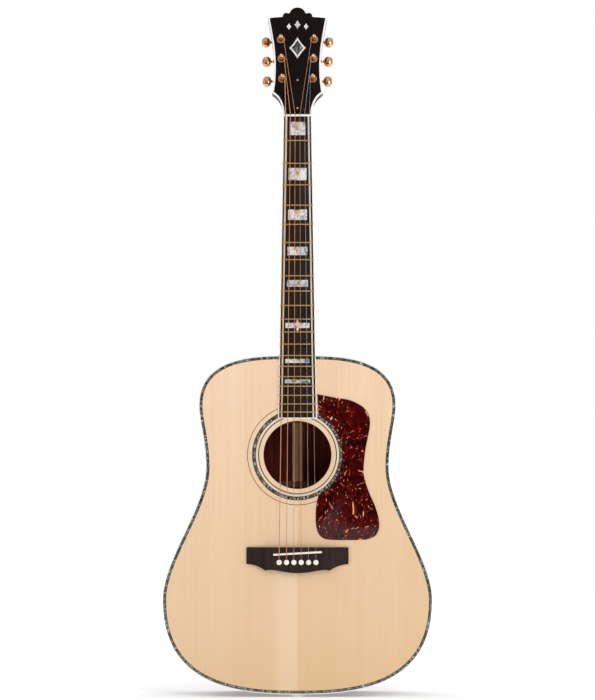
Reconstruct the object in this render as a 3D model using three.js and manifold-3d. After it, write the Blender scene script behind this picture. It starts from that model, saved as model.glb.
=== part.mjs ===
// A steel-string acoustic guitar: a fourteen-fret dreadnought with a solid spruce top, bound edges,
// a dark bridge with a belly, a bound headstock and six sealed worm-gear tuners.
//
// The guitar is drawn lying on its back on a bench, in millimetres: X runs to the treble side, Y runs
// from the tail up the neck, and Z comes out of the soundboard, whose face is Z = 0. The headstock has
// a frame of its own, tilted back at the nut. At the end the guitar is stood up, so that Z points up
// and the soundboard faces -Y, with its origin where a wall hanger carries the headstock.

import * as THREE from 'three';
import { mergeVertices } from 'three/addons/utils/BufferGeometryUtils.js';
import Module from 'manifold-3d';

const wasm = await Module();
wasm.setup();

// ---------------------------------------------------------------- driving dimensions

const GAP = 0.3; // left between pieces that touch
const MERGE_DISTANCE = 1e-4;

const BODY_LENGTH = 504.7;
const LOWER_BOUT = { halfWidth: 201.7, y: 139.8, below: 133.9, above: 61.3 };
const WAIST = { halfWidth: 137.2, y: 337.9, below: 60.7, above: 40.1 };
const UPPER_BOUT = { halfWidth: 147.8, y: 431.3, below: 25.3, above: 82.0 };
const TAIL_REACH = 79.1; // how far the flat of the tail reaches sideways
const SHOULDER_REACH = 37.7; // the same at the neck end
const OUTLINE_STEPS = 8; // straight pieces in each quarter of the outline

const TAIL_DEPTH = 125;
const NECK_END_DEPTH = 107;
const BACK_ARCH_RADIUS = 4572;
const BACK_ARCH_STEPS = 10;

const TOP_THICKNESS = 2.8;
const BACK_THICKNESS = 2.8;
const RIB_THICKNESS = 2.3;
const BINDING = { width: 2.5, height: 6 };
const LINING = { width: 6, height: 12 };
const BLOCK_HALF_WIDTH = 38;
const NECK_BLOCK_START = 452;
const TAIL_BLOCK_END = 20;
const MID_DEPTH = -60; // a level inside the body, clear of what lies on the top and on the back
const BELOW_BACK = -TAIL_DEPTH - 10; // a level behind the whole back

const X_BRACE = { crossing: 272, angle: THREE.MathUtils.degToRad(49), width: 8, height: 14 };
const TONE_BAR = { width: 7, height: 10 };
const FINGER_BRACE = { width: 6, height: 8 };
const TRANSVERSE_BRACE = { y: 430, width: 10, height: 15 };
const BRIDGE_PLATE = { low: 178, lowHalfWidth: 74, high: 224, highHalfWidth: 41, thickness: 2.5 };
const BACK_BRACES = [
  { y: 410, width: 9, height: 14 },
  { y: 312, width: 9, height: 14 },
  { y: 205, width: 16, height: 9 },
  { y: 100, width: 16, height: 9 },
];
const BACK_STRIP = { halfWidth: 8, thickness: 2, start: 22, end: 450 };

const SCALE_LENGTH = 647.7;
const BODY_FRET = 14; // the fret at the edge of the body
const FRET_COUNT = 20;
const FRETS_TO_BODY = SCALE_LENGTH * (1 - 2 ** (-BODY_FRET / 12));
const NUT_Y = BODY_LENGTH + FRETS_TO_BODY;
const NUT = { length: 3.5, top: 8.9, slotBottom: 7.9, width: 42.8, slotHalfWidth: 1.1 };
const BOARD = { end: 410.7, taper: 0.033, top: 6.5 };
const FRET = { foot: 1.2, crown: 0.5, top: 7.5, root: 6.2, inset: 0.4 };

const SOUNDHOLE = { y: 356.5, radius: 50.8 };

const BRIDGE = { top: 218.8, halfWidth: 76.1, bottom: 194.1, thickness: 9, wingTip: 3.4, wingStart: 41 };
const SADDLE = { length: 72.7, width: 3, y: 209.9, slope: 0.055, foot: 4.3, top: 12 };
const PIN = { y: 196.6, spacing: 10.94, headRadius: 4, topRadius: 2.35, tipRadius: 1.5, tip: -14 };
const PIN_HOLE = { radius: 3.1, slotHalfWidth: 1.1, slotReach: 4.5, rampReach: 7, rampBottom: 6.5 };
const STRING_DROP = 3.45; // from the pin's axis to the string's, in the slot ahead of the pin
const BALL = { radius: 1.4, z: -8.4 };

const STRING_RADII = [0.15, 0.2, 0.31, 0.41, 0.53, 0.67]; // string 1, the thinnest, to string 6
const NUT_SPACING = 7.1;
const STRING_SIDES = 6;

const NECK = { nutDepth: 14, heelDepth: 17, sides: 12 };
const HEEL = { depth: 98, capLength: 20, reach: 70 };
const TENON = { top: -7, bottom: -80, rootHalfWidth: 9, tipHalfWidth: 12, tipY: 489 };
const TRUSS_ROD = { radius: 2.5, z: -5, start: 512, nutRadius: 3.6, nutStart: 9, nutEnd: 17 };
const ROD_CHANNEL = { halfWidth: 3.2, depth: 8.4 };

const HEAD_TILT = THREE.MathUtils.degToRad(14);
const HEAD_START = NUT_Y + 5;
const HEAD_FACE_Z = 2; // the face's height there
const OVERLAY_START = -1.1; // the overlay reaches down behind the nut
const HEAD_BACK = -16.5;
const OVERLAY_THICKNESS = 1.5;
const ROD_POCKET = { halfWidth: 6, start: 2, end: 40, depth: 12 };

// One post on each side for each pair of strings: the outermost strings use the lowest posts.
const POSTS = [
  { x: 23.0, s: 56.0, buttonX: 46.0 },
  { x: 24.2, s: 88.4, buttonX: 46.8 },
  { x: 25.1, s: 120.1, buttonX: 47.7 },
];
const POST = { radius: 3, waist: 2.6, top: 13.5, holeRadius: 0.9, holeHeight: 9.5, sides: 10 };
const STRING_HEIGHT_AT_POST = 6.5;

const WHEEL = { teeth: 14, pitchRadius: 3.6, tipRadius: 4.05, rootRadius: 3.0, width: 3 };
const WORM_PITCH = (2 * Math.PI * WHEEL.pitchRadius) / WHEEL.teeth;
const WORM = { meanRadius: 1.9, throw: 0.5, pitchRadius: 2.0, turns: 2, stepsPerTurn: 8, coreRadius: 1.1 };
const GEAR_ROOM = { wheel: 4.75, worm: 3.1, halfHeight: 2.8, halfLength: 3.8, sides: 8 };
const WORM_OFFSET = WHEEL.pitchRadius + WORM.pitchRadius;
const GEAR_PLANE = -25.5; // height of the wheel's and the worm's middle in the headstock's frame
const TOOTH = { tip: 0.3, root: 0.85 };

const HOUSING = { inner: 8.5, outer: 9.5, low: -8, high: 12, back: -31.5, corner: 4.5 };
const SLEEVE = { radius: 4.4, bore: 3.4, flangeRadius: 5.8, flangeTop: 2.4, hole: 4.9 };
const BUTTON = { length: 13.7, height: 16.2, thickness: 8.4, collarRadius: 2.4, shaftRadius: 1.3 };

const PICKGUARD = { thickness: 1, arcRadius: 67.8 };
const END_PIN = { z: -60, radius: 4, tipRadius: 3.5, length: 24, headRadius: 7, headLength: 3.5 };
const HANGER_REST = { y: NUT_Y + 25, z: -6 };

// ---------------------------------------------------------------- looks

const look = (color, roughness, metalness = 0) =>
  new THREE.MeshStandardMaterial({ color, roughness, metalness });

const LOOKS = {
  spruce: look(0xeccfa4, 0.35),
  bareSpruce: look(0xe0c18f, 0.8),
  rosewood: look(0x3a1d14, 0.3),
  mahogany: look(0x6b3a22, 0.4),
  mahoganyBlock: look(0x8a5a3a, 0.8),
  ebony: look(0x241a16, 0.45),
  binding: look(0xf3ead6, 0.35),
  bone: look(0xf4eee0, 0.4),
  pickguard: look(0x4a0a0a, 0.15),
  blackPlastic: look(0x0c0a0a, 0.2),
  gold: look(0xc8935c, 0.25, 1),
  steel: look(0x8c8c90, 0.35, 1),
  plainString: look(0xb8bcc0, 0.25, 1),
  woundString: look(0xb87748, 0.35, 1),
};

// ---------------------------------------------------------------- solids

// A closed three.js geometry as a solid that can be cut and joined.
function solid(geometry) {
  const bare = new THREE.BufferGeometry();
  bare.setAttribute('position', geometry.getAttribute('position'));
  bare.setIndex(geometry.index);
  const merged = mergeVertices(bare, MERGE_DISTANCE);
  const corners = Array.from(merged.index.array);
  const triangles = [];
  for (let i = 0; i < corners.length; i += 3) {
    const [a, b, c] = corners.slice(i, i + 3);
    if (a !== b && b !== c && c !== a) triangles.push(a, b, c);
  }
  return new wasm.Manifold(new wasm.Mesh({
    numProp: 3,
    vertProperties: merged.getAttribute('position').array,
    triVerts: new Uint32Array(triangles),
  }));
}

const join = (first, ...others) => others.reduce((sum, other) => sum.add(other), first);
const cut = (first, ...others) => others.reduce((rest, other) => rest.subtract(other), first);
const common = (first, ...others) => others.reduce((part, other) => part.intersect(other), first);

// A flat outline in X and Y, made into a plate from zLow up to zHigh.
function plate(shape, zLow, zHigh, curveSegments = 6) {
  const options = { depth: zHigh - zLow, bevelEnabled: false, curveSegments };
  return new THREE.ExtrudeGeometry(shape, options).translate(0, 0, zLow);
}

// An outline in X and Z, made into a bar from yLow to yHigh.
function barAlongY(shape, yLow, yHigh, curveSegments = 6) {
  return plate(shape, -yHigh, -yLow, curveSegments).rotateX(Math.PI / 2);
}

// An outline in Y and Z, made into a bar from xLow to xHigh.
function barAlongX(shape, xLow, xHigh, curveSegments = 6) {
  return plate(shape, xLow, xHigh, curveSegments).rotateY(Math.PI / 2).rotateX(Math.PI / 2);
}

function slab([x0, y0, z0], [x1, y1, z1]) {
  const box = new THREE.BoxGeometry(x1 - x0, y1 - y0, z1 - z0);
  return box.translate((x0 + x1) / 2, (y0 + y1) / 2, (z0 + z1) / 2);
}

// A profile of [radius, z] points, turned about Z.
function turned(profile, sides) {
  const points = profile.map(([radius, z]) => new THREE.Vector2(radius, z));
  return new THREE.LatheGeometry(points, sides).rotateX(Math.PI / 2);
}

const cylinder = (radius, zLow, zHigh, sides) =>
  turned([[0, zLow], [radius, zLow], [radius, zHigh], [0, zHigh]], sides);

const outline = (points) => new THREE.Shape(points.map(([x, y]) => new THREE.Vector2(x, y)));

const mirrored = (points) => points.map(([x, y]) => [-x, y]).reverse();

const headMatrix = new THREE.Matrix4().makeRotationX(-HEAD_TILT)
  .setPosition(0, HEAD_START, HEAD_FACE_Z);
const onHead = (geometry) => geometry.applyMatrix4(headMatrix);

// Moves each corner of a geometry by a rule of its own.
function reshape(geometry, rule) {
  const position = geometry.getAttribute('position');
  const corner = new THREE.Vector3();
  for (let i = 0; i < position.count; i += 1) {
    rule(corner.fromBufferAttribute(position, i));
    position.setXYZ(i, corner.x, corner.y, corner.z);
  }
  return geometry;
}

// ---------------------------------------------------------------- the body's outline

// The treble half of the outline, from the tail round to the neck, moved in by inset.
function halfOutline(inset) {
  const path = new THREE.Path();
  const stations = [LOWER_BOUT, WAIST, UPPER_BOUT];
  let [lastX, lastY] = [TAIL_REACH, 0];
  path.moveTo(0, 0);
  for (const { halfWidth, y, below, above } of stations) {
    path.bezierCurveTo(lastX, lastY, halfWidth, y - below, halfWidth, y);
    [lastX, lastY] = [halfWidth, y + above];
  }
  path.bezierCurveTo(lastX, lastY, SHOULDER_REACH, BODY_LENGTH, 0, BODY_LENGTH);
  const points = path.getPoints(OUTLINE_STEPS);
  const last = points.length - 1;
  return points.map((point, i) => {
    if (i === 0) return [0, inset];
    if (i === last) return [0, BODY_LENGTH - inset];
    const along = points[i + 1].clone().sub(points[i - 1]).normalize();
    return [point.x - along.y * inset, point.y + along.x * inset];
  });
}

function bodyShape(inset) {
  const half = halfOutline(inset);
  return outline([...half, ...mirrored(half).slice(1, -1)]);
}

function bodyRing(outerInset, innerInset) {
  const ring = bodyShape(outerInset);
  ring.holes.push(new THREE.Path(bodyShape(innerInset).getPoints()));
  return ring;
}

// Half of a ring that follows the outline, ending just short of the centre line.
function halfRing(outerInset, innerInset, side) {
  const shy = ([x, y]) => [side * Math.max(x, GAP / 2), y];
  return outline([
    ...halfOutline(outerInset).map(shy),
    ...halfOutline(innerInset).map(shy).reverse(),
  ]);
}

// Everything behind the arched, tapering back, measured from a surface this far inside its outer face.
function behindBack(inside) {
  const halfWidth = LOWER_BOUT.halfWidth + 10;
  const arch = [];
  for (let i = 0; i <= BACK_ARCH_STEPS; i += 1) {
    const x = halfWidth * (2 * (i / BACK_ARCH_STEPS) - 1);
    arch.push([x, BACK_ARCH_RADIUS - Math.sqrt(BACK_ARCH_RADIUS ** 2 - x ** 2)]);
  }
  const shape = outline([[-halfWidth, -60], [halfWidth, -60], ...arch.reverse()]);
  const rise = Math.atan((TAIL_DEPTH - NECK_END_DEPTH) / BODY_LENGTH);
  return solid(barAlongY(shape, -20, BODY_LENGTH + 40).rotateX(rise).translate(0, 0, inside - TAIL_DEPTH));
}

const bodyPrism = (inset, zHigh) => solid(plate(bodyShape(inset), BELOW_BACK, zHigh));

// A layer of the body's inside that follows the back, between two distances from its outer face.
const backLayer = (piece, near, far) => common(piece, behindBack(far)).subtract(behindBack(near));

const UNDER_TOP = -TOP_THICKNESS - GAP;
const OVER_BACK = BACK_THICKNESS + GAP;
const INSIDE_RIBS = RIB_THICKNESS + GAP;
const INSIDE_LININGS = INSIDE_RIBS + LINING.width + GAP;

// ---------------------------------------------------------------- the body

const pinX = (string) => (3.5 - string) * PIN.spacing;
const STRINGS = [1, 2, 3, 4, 5, 6];

// The hole that a bridge pin and its string share, through the bridge, the top and the plate.
function pinHoles(zLow, zHigh) {
  return STRINGS.map((string) => {
    const hole = cylinder(PIN_HOLE.radius, zLow, zHigh, 6).translate(pinX(string), PIN.y, 0);
    const x = pinX(string);
    const slot = slab(
      [x - PIN_HOLE.slotHalfWidth, PIN.y, zLow],
      [x + PIN_HOLE.slotHalfWidth, PIN.y + PIN_HOLE.slotReach, zHigh],
    );
    return join(solid(hole), solid(slot));
  });
}

function soundboard() {
  const shape = bodyShape(BINDING.width + GAP);
  const hole = new THREE.Path().absarc(0, SOUNDHOLE.y, SOUNDHOLE.radius, 0, 2 * Math.PI, true);
  shape.holes.push(new THREE.Path(hole.getPoints(18)));
  return cut(solid(plate(shape, -TOP_THICKNESS, 0)), ...pinHoles(-5, 5));
}

function backPlate() {
  return backLayer(bodyPrism(BINDING.width + GAP, MID_DEPTH), 0, BACK_THICKNESS);
}

// One bent rib, with its half of the neck's mortise and of the end pin's hole.
function rib(side) {
  const ring = solid(plate(halfRing(0, RIB_THICKNESS, side), BELOW_BACK, -BINDING.height - GAP));
  const mortise = slab(
    [-TENON.rootHalfWidth - 1, BODY_LENGTH - 6, TENON.bottom - GAP],
    [TENON.rootHalfWidth + 1, BODY_LENGTH + 6, 0],
  );
  return cut(ring, behindBack(BINDING.height + GAP), solid(mortise), endPinHole());
}

const topBinding = () => solid(plate(bodyRing(0, BINDING.width), -BINDING.height, 0));

function backBinding() {
  const ring = solid(plate(bodyRing(0, BINDING.width), BELOW_BACK, MID_DEPTH));
  return backLayer(ring, 0, BINDING.height);
}

// The space that the two end blocks take, with a gap round it.
function blockSpaces() {
  const reach = BLOCK_HALF_WIDTH + GAP;
  return [
    solid(slab([-reach, -10, -200], [reach, TAIL_BLOCK_END + GAP, 10])),
    solid(slab([-reach, NECK_BLOCK_START - GAP, -200], [reach, BODY_LENGTH + 10, 10])),
  ];
}

const liningRing = (side, zLow, zHigh) =>
  solid(plate(halfRing(INSIDE_RIBS, INSIDE_RIBS + LINING.width, side), zLow, zHigh));

const topLining = (side) =>
  cut(liningRing(side, UNDER_TOP - LINING.height, UNDER_TOP), ...blockSpaces());

function backLining(side) {
  const ring = liningRing(side, BELOW_BACK, MID_DEPTH);
  return cut(backLayer(ring, OVER_BACK, OVER_BACK + LINING.height), ...blockSpaces());
}

// The dovetail, in plan: the neck's own, or the mortise a little larger.
function dovetail(clearance) {
  const root = TENON.rootHalfWidth + clearance;
  const tip = TENON.tipHalfWidth + clearance;
  const far = BODY_LENGTH + 2;
  return plate(
    outline([[-root, far], [-tip, TENON.tipY - clearance], [tip, TENON.tipY - clearance], [root, far]]),
    TENON.bottom - clearance,
    TENON.top + clearance,
  );
}

function endPinHole() {
  const hole = cylinder(END_PIN.radius + GAP + 0.2, -30, 60, 12).rotateX(-Math.PI / 2);
  return solid(hole.translate(0, 0, END_PIN.z));
}

// A block between two stations, fitted to the ribs, the top and the back.
function endBlock(yLow, yHigh) {
  const corners = [[-BLOCK_HALF_WIDTH, yLow, -TAIL_DEPTH], [BLOCK_HALF_WIDTH, yHigh, UNDER_TOP]];
  return cut(common(solid(slab(...corners)), bodyPrism(INSIDE_RIBS, 0)), behindBack(OVER_BACK));
}

const neckBlock = () => cut(endBlock(NECK_BLOCK_START, BODY_LENGTH), solid(dovetail(GAP + 0.1)));
const tailBlock = () => cut(endBlock(0, TAIL_BLOCK_END), endPinHole());

// A brace under the top between two points in plan, drawn longer than it is and trimmed later.
function topBrace([x0, y0], [x1, y1], width, height) {
  const length = Math.hypot(x1 - x0, y1 - y0);
  const bar = slab([0, -width / 2, UNDER_TOP - height], [length, width / 2, UNDER_TOP]);
  return solid(bar.rotateZ(Math.atan2(y1 - y0, x1 - x0)).translate(x0, y0, 0));
}

// The X, its two tone bars and its four finger braces, glued up as one.
function topBracing() {
  const along = (distance, side) => [
    side * distance * Math.sin(X_BRACE.angle),
    X_BRACE.crossing + distance * Math.cos(X_BRACE.angle),
  ];
  const legs = [-1, 1].map((side) =>
    topBrace(along(-260, side), along(200, side), X_BRACE.width, X_BRACE.height));
  const toneBars = [
    topBrace(along(-146, -1), [-120, 86], TONE_BAR.width, TONE_BAR.height),
    topBrace(along(-198, -1), [-60, 22], TONE_BAR.width, TONE_BAR.height),
  ];
  const fingers = [-1, 1].flatMap((side) => [
    topBrace(along(-60, -side), [side * 150, 278], FINGER_BRACE.width, FINGER_BRACE.height),
    topBrace(along(-104, -side), [side * 180, 232], FINGER_BRACE.width, FINGER_BRACE.height),
  ]);
  const stopAt = TRANSVERSE_BRACE.y - TRANSVERSE_BRACE.width / 2 - GAP;
  const inside = solid(plate(bodyShape(INSIDE_LININGS), -40, 0));
  const below = solid(slab([-250, 0, -40], [250, stopAt, 0]));
  return common(join(...legs, ...toneBars, ...fingers), inside, below);
}

function transverseBrace() {
  const { y, width, height } = TRANSVERSE_BRACE;
  const bar = slab([-200, y - width / 2, UNDER_TOP - height], [200, y + width / 2, UNDER_TOP]);
  return common(solid(bar), solid(plate(bodyShape(INSIDE_LININGS), -40, 0)));
}

function bridgePlate() {
  const { low, lowHalfWidth, high, highHalfWidth, thickness } = BRIDGE_PLATE;
  const half = [[lowHalfWidth, low], [highHalfWidth, high]];
  const blank = plate(outline([...half, ...mirrored(half)]), UNDER_TOP - thickness, UNDER_TOP);
  return cut(solid(blank), ...pinHoles(-20, 5));
}

function backBrace({ y, width, height }) {
  const inside = bodyPrism(INSIDE_LININGS, MID_DEPTH);
  const bar = common(solid(slab([-250, y - width / 2, -200], [250, y + width / 2, -40])), inside);
  const reach = BACK_STRIP.halfWidth + GAP;
  const notch = solid(slab([-reach, y - width, -200], [reach, y + width, -40]));
  const overStrip = OVER_BACK + BACK_STRIP.thickness + GAP;
  const brace = backLayer(bar, OVER_BACK, OVER_BACK + height);
  return cut(brace, common(notch, behindBack(overStrip)));
}

function backStrip() {
  const { halfWidth, thickness, start, end } = BACK_STRIP;
  const strip = solid(slab([-halfWidth, start, -200], [halfWidth, end, -40]));
  return backLayer(strip, OVER_BACK, OVER_BACK + thickness);
}

// ---------------------------------------------------------------- on the soundboard

function pickguard() {
  const shape = new THREE.Shape();
  shape.moveTo(29.8, 447.2);
  shape.splineThru([
    [52, 442.9], [81, 437.3], [102, 424], [108.4, 403], [101.5, 364], [98.8, 330], [104.8, 306],
    [116.9, 277], [122.2, 252.6], [116.8, 236.6], [102, 230.1],
  ].map(([x, y]) => new THREE.Vector2(x, y)));
  shape.quadraticCurveTo(76, 228.6, 47.2, 230);
  shape.bezierCurveTo(31, 231.5, 27, 243, 27, 266);
  shape.quadraticCurveTo(27.5, 283, 31.4, 296.4);
  const startAngle = Math.atan2(296.4 - SOUNDHOLE.y, 31.4);
  shape.absarc(0, SOUNDHOLE.y, PICKGUARD.arcRadius, startAngle, -startAngle, false);
  return solid(plate(shape, GAP, GAP + PICKGUARD.thickness, 3));
}

function bridge() {
  const { top, halfWidth, bottom, thickness, wingTip, wingStart } = BRIDGE;
  const plan = new THREE.Shape();
  plan.moveTo(-halfWidth, top);
  plan.lineTo(-halfWidth, bottom);
  plan.quadraticCurveTo(-60, 193, -48.5, 184.4);
  plan.bezierCurveTo(-36, 187.5, -22, 180.5, 0, 180.5);
  plan.bezierCurveTo(22, 180.5, 36, 187.5, 48.5, 184.4);
  plan.quadraticCurveTo(60, 193, halfWidth, bottom);
  plan.lineTo(halfWidth, top);
  const side = new THREE.Shape();
  side.moveTo(-halfWidth, GAP);
  side.lineTo(halfWidth, GAP);
  side.lineTo(halfWidth, wingTip);
  side.quadraticCurveTo(wingStart + 10, wingTip + 0.6, wingStart, thickness);
  side.lineTo(-wingStart, thickness);
  side.quadraticCurveTo(-wingStart - 10, wingTip + 0.6, -halfWidth, wingTip);
  const block = common(solid(plate(plan, 0, 20)), solid(barAlongY(side, 150, 240)));
  const ramps = STRINGS.map((string) => {
    const x = pinX(string);
    return solid(slab(
      [x - PIN_HOLE.slotHalfWidth, PIN.y, PIN_HOLE.rampBottom],
      [x + PIN_HOLE.slotHalfWidth, PIN.y + PIN_HOLE.rampReach, 20],
    ));
  });
  return cut(block, solid(saddleBar(GAP, SADDLE.foot - GAP, 20)), ...pinHoles(-5, 20), ...ramps);
}

function saddleBar(clearance, zLow, zHigh) {
  const halfLength = SADDLE.length / 2 + clearance;
  const halfThickness = SADDLE.width / 2 + clearance;
  const bar = slab([-halfLength, -halfThickness, zLow], [halfLength, halfThickness, zHigh]);
  return bar.rotateZ(Math.atan(SADDLE.slope)).translate(0, SADDLE.y, 0);
}

function bridgePin() {
  const { headRadius, topRadius, tipRadius, tip } = PIN;
  const seat = BRIDGE.thickness + GAP;
  return solid(turned([
    [0, tip], [tipRadius, tip], [topRadius, seat], [headRadius, seat],
    [headRadius, seat + 1.2], [headRadius * 0.6, seat + 2.8], [0, seat + 3.1],
  ], 8));
}

// ---------------------------------------------------------------- the neck

const fretY = (fret) => NUT_Y - SCALE_LENGTH * (1 - 2 ** (-fret / 12));
const boardWidth = (y) => NUT.width + BOARD.taper * (NUT_Y - y);

function boardOutline(yLow, yHigh) {
  const half = [[boardWidth(yLow) / 2, yLow], [boardWidth(yHigh) / 2, yHigh]];
  return outline([...half, ...mirrored(half)]);
}

// The board with its frets pressed in.
function fingerboard() {
  const board = solid(plate(boardOutline(BOARD.end, NUT_Y - GAP), GAP, BOARD.top));
  const { foot, crown, top, root, inset } = FRET;
  const frets = [];
  for (let fret = 1; fret <= FRET_COUNT; fret += 1) {
    const y = fretY(fret);
    const section = outline([
      [y - foot, root],
      [y + foot, root],
      [y + crown, top],
      [y - crown, top],
    ]);
    const reach = boardWidth(y) / 2 - inset;
    frets.push(solid(barAlongX(section, -reach, reach)));
  }
  return join(board, ...frets);
}

const nutX = (string) => (3.5 - string) * NUT_SPACING;

function nut() {
  const half = NUT.width / 2;
  const blank = solid(slab([-half, NUT_Y, GAP], [half, NUT_Y + NUT.length - GAP, NUT.top]));
  const slots = STRINGS.map((string) => {
    const [west, east] = [nutX(string) - NUT.slotHalfWidth, nutX(string) + NUT.slotHalfWidth];
    return solid(slab([west, NUT_Y - 5, NUT.slotBottom], [east, NUT_Y + 10, 20]));
  });
  return cut(blank, ...slots);
}

// The headstock's plan in its own frame: waisted sides, square shoulders and a crest of three lobes.
function headOutline() {
  const half = new THREE.Path();
  half.moveTo(21.4, -2);
  half.bezierCurveTo(21.8, 12, 27, 27, 38.3, 33.6);
  half.bezierCurveTo(35.4, 50, 34.2, 76, 36.2, 98);
  half.bezierCurveTo(37.6, 116, 42, 138, 44.7, 154.6);
  half.quadraticCurveTo(34, 156.6, 21.9, 156.8);
  half.absarc(17.2, 158.4, 5.2, -0.2, 2.2, false);
  half.absarc(0, 160, 12.5, 0.3, Math.PI / 2, false);
  const points = half.getPoints(4).map(({ x, y }) => [x, y]);
  return outline([...points, ...mirrored(points).slice(1)]);
}

// A round hole through the headstock for each tuner's sleeve.
function sleeveHoles() {
  return POSTS.flatMap(({ x, s }) => [-1, 1].map((side) =>
    solid(onHead(cylinder(SLEEVE.hole, HEAD_BACK - 5, 5, POST.sides).translate(side * x, s, 0)))));
}

function rodPocket() {
  const { halfWidth, start, end, depth } = ROD_POCKET;
  return solid(onHead(slab([-halfWidth, start, -depth], [halfWidth, end, 5])));
}

function neckShaft() {
  const { nutDepth, heelDepth, sides } = NECK;
  const section = new THREE.Shape();
  section.absarc(0, 0, 1, Math.PI, 2 * Math.PI, false);
  const start = BODY_LENGTH + GAP;
  const end = HEAD_START + 4;
  const shaft = barAlongY(section, start, end, sides / 2);
  return solid(reshape(shaft, (corner) => {
    corner.x *= boardWidth(corner.y) / 2;
    corner.z *= THREE.MathUtils.mapLinear(corner.y, start, end, heelDepth, nutDepth);
  }));
}

function heel() {
  const { depth, capLength, reach } = HEEL;
  const face = BODY_LENGTH + GAP;
  const side = new THREE.Shape();
  side.moveTo(face, 0);
  side.lineTo(face, -depth);
  side.lineTo(face + capLength, -depth);
  side.bezierCurveTo(face + capLength + 2, -50, face + 30, -NECK.heelDepth - 3, face + reach, -12);
  side.lineTo(face + reach, 0);
  const front = new THREE.Shape();
  front.moveTo(-30, 0);
  front.bezierCurveTo(-29, -30, -14, -45, -12.5, -depth);
  front.lineTo(12.5, -depth);
  front.bezierCurveTo(14, -45, 29, -30, 30, 0);
  return common(
    solid(barAlongX(side, -40, 40, 8)),
    solid(barAlongY(front, face - 10, face + reach + 10, 8)),
    solid(plate(boardOutline(face - 10, face + reach + 10), -depth - 10, 0)),
  );
}

function neck() {
  const face = BODY_LENGTH + GAP;
  const head = solid(onHead(plate(headOutline(), HEAD_BACK, -OVERLAY_THICKNESS - GAP)));
  const tenon = common(solid(dovetail(0)), solid(slab([-20, 0, -100], [20, face + 1, 0])));
  const wood = join(neckShaft(), heel(), tenon, head);
  const aboveNeck = solid(slab([-60, 0, 0], [60, HEAD_START + GAP, 30]));
  const aboveHead = solid(onHead(slab([-60, 0, -OVERLAY_THICKNESS - GAP], [60, 60, 30])));
  const { halfWidth, depth } = ROD_CHANNEL;
  const channelEnd = HEAD_START + 5;
  const channel = solid(slab([-halfWidth, TRUSS_ROD.start - 2, -depth], [halfWidth, channelEnd, 5]));
  return cut(wood, aboveNeck, aboveHead, channel, rodPocket(), ...sleeveHoles());
}

function headOverlay() {
  const veneer = solid(onHead(plate(headOutline(), -OVERLAY_THICKNESS, 0)));
  const behindNut = solid(onHead(slab([-60, -20, -20], [60, OVERLAY_START, 20])));
  return cut(veneer, behindNut, rodPocket(), ...sleeveHoles());
}

function rodCover() {
  const shape = new THREE.Shape();
  shape.moveTo(-10, 3);
  shape.lineTo(10, 3);
  shape.quadraticCurveTo(11, 22, 7.5, 44);
  shape.bezierCurveTo(7, 54, 4, 58, 0, 60);
  shape.bezierCurveTo(-4, 58, -7, 54, -7.5, 44);
  shape.quadraticCurveTo(-11, 22, -10, 3);
  return solid(onHead(plate(shape, GAP, 2.4, 4)));
}

// A rod that turns in its channel, with the round nut that a key fits at the headstock's end.
function trussRod() {
  const { radius, z, start, nutRadius, nutStart, nutEnd } = TRUSS_ROD;
  const turnedRod = turned([
    [0, start], [radius, start], [radius, NUT_Y + nutStart], [nutRadius, NUT_Y + nutStart],
    [nutRadius, NUT_Y + nutEnd], [0, NUT_Y + nutEnd],
  ], 10);
  return solid(turnedRod.rotateX(-Math.PI / 2).translate(0, 0, z));
}

function endPin() {
  const { z, radius, tipRadius, length, headRadius, headLength } = END_PIN;
  const peg = turned([
    [0, -headLength - GAP], [headRadius - 1, -headLength - GAP], [headRadius, -headLength + 0.7],
    [headRadius, -GAP], [radius, -GAP], [tipRadius, length], [0, length],
  ], 12);
  return solid(peg.rotateX(-Math.PI / 2).translate(0, 0, z));
}

// ---------------------------------------------------------------- the tuners
// Each is drawn about its own post: x outwards is side * X, and Z is up from the headstock's face.

// The toothed wheel, its teeth leaning with the worm's thread.
function wormWheel() {
  const { teeth, pitchRadius, tipRadius, rootRadius, width } = WHEEL;
  const lean = WORM_PITCH / (2 * Math.PI * WORM.pitchRadius);
  const points = [];
  for (let tooth = 0; tooth < teeth; tooth += 1) {
    const middle = Math.PI / 2 + (2 * Math.PI * tooth) / teeth;
    const corners = [
      [rootRadius, -TOOTH.root / 2],
      [tipRadius, -TOOTH.tip / 2],
      [tipRadius, TOOTH.tip / 2],
      [rootRadius, TOOTH.root / 2],
    ];
    for (const [radius, halfWidth] of corners) {
      const angle = middle + halfWidth / radius;
      points.push([radius * Math.cos(angle), radius * Math.sin(angle)]);
    }
  }
  const wheel = plate(outline(points), -width / 2, width / 2);
  const leant = reshape(wheel, (corner) => {
    corner.applyAxisAngle(new THREE.Vector3(0, 0, 1), (corner.z * lean) / pitchRadius);
  });
  return solid(leant.translate(0, 0, GEAR_PLANE));
}

function tunerPost() {
  const { radius, waist, top, holeRadius, holeHeight, sides } = POST;
  const shaftRadius = WHEEL.rootRadius - 0.1;
  const shaft = turned([
    [0, GEAR_PLANE - 2.4], [shaftRadius, GEAR_PLANE - 2.4], [radius, 3.4], [waist, 7],
    [radius, top - 0.8], [radius - 0.8, top], [0, top],
  ], sides);
  const hole = cylinder(holeRadius, -8, 8, 6).rotateX(Math.PI / 2).translate(0, 0, holeHeight);
  return cut(join(solid(shaft), wormWheel()), solid(hole));
}

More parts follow.
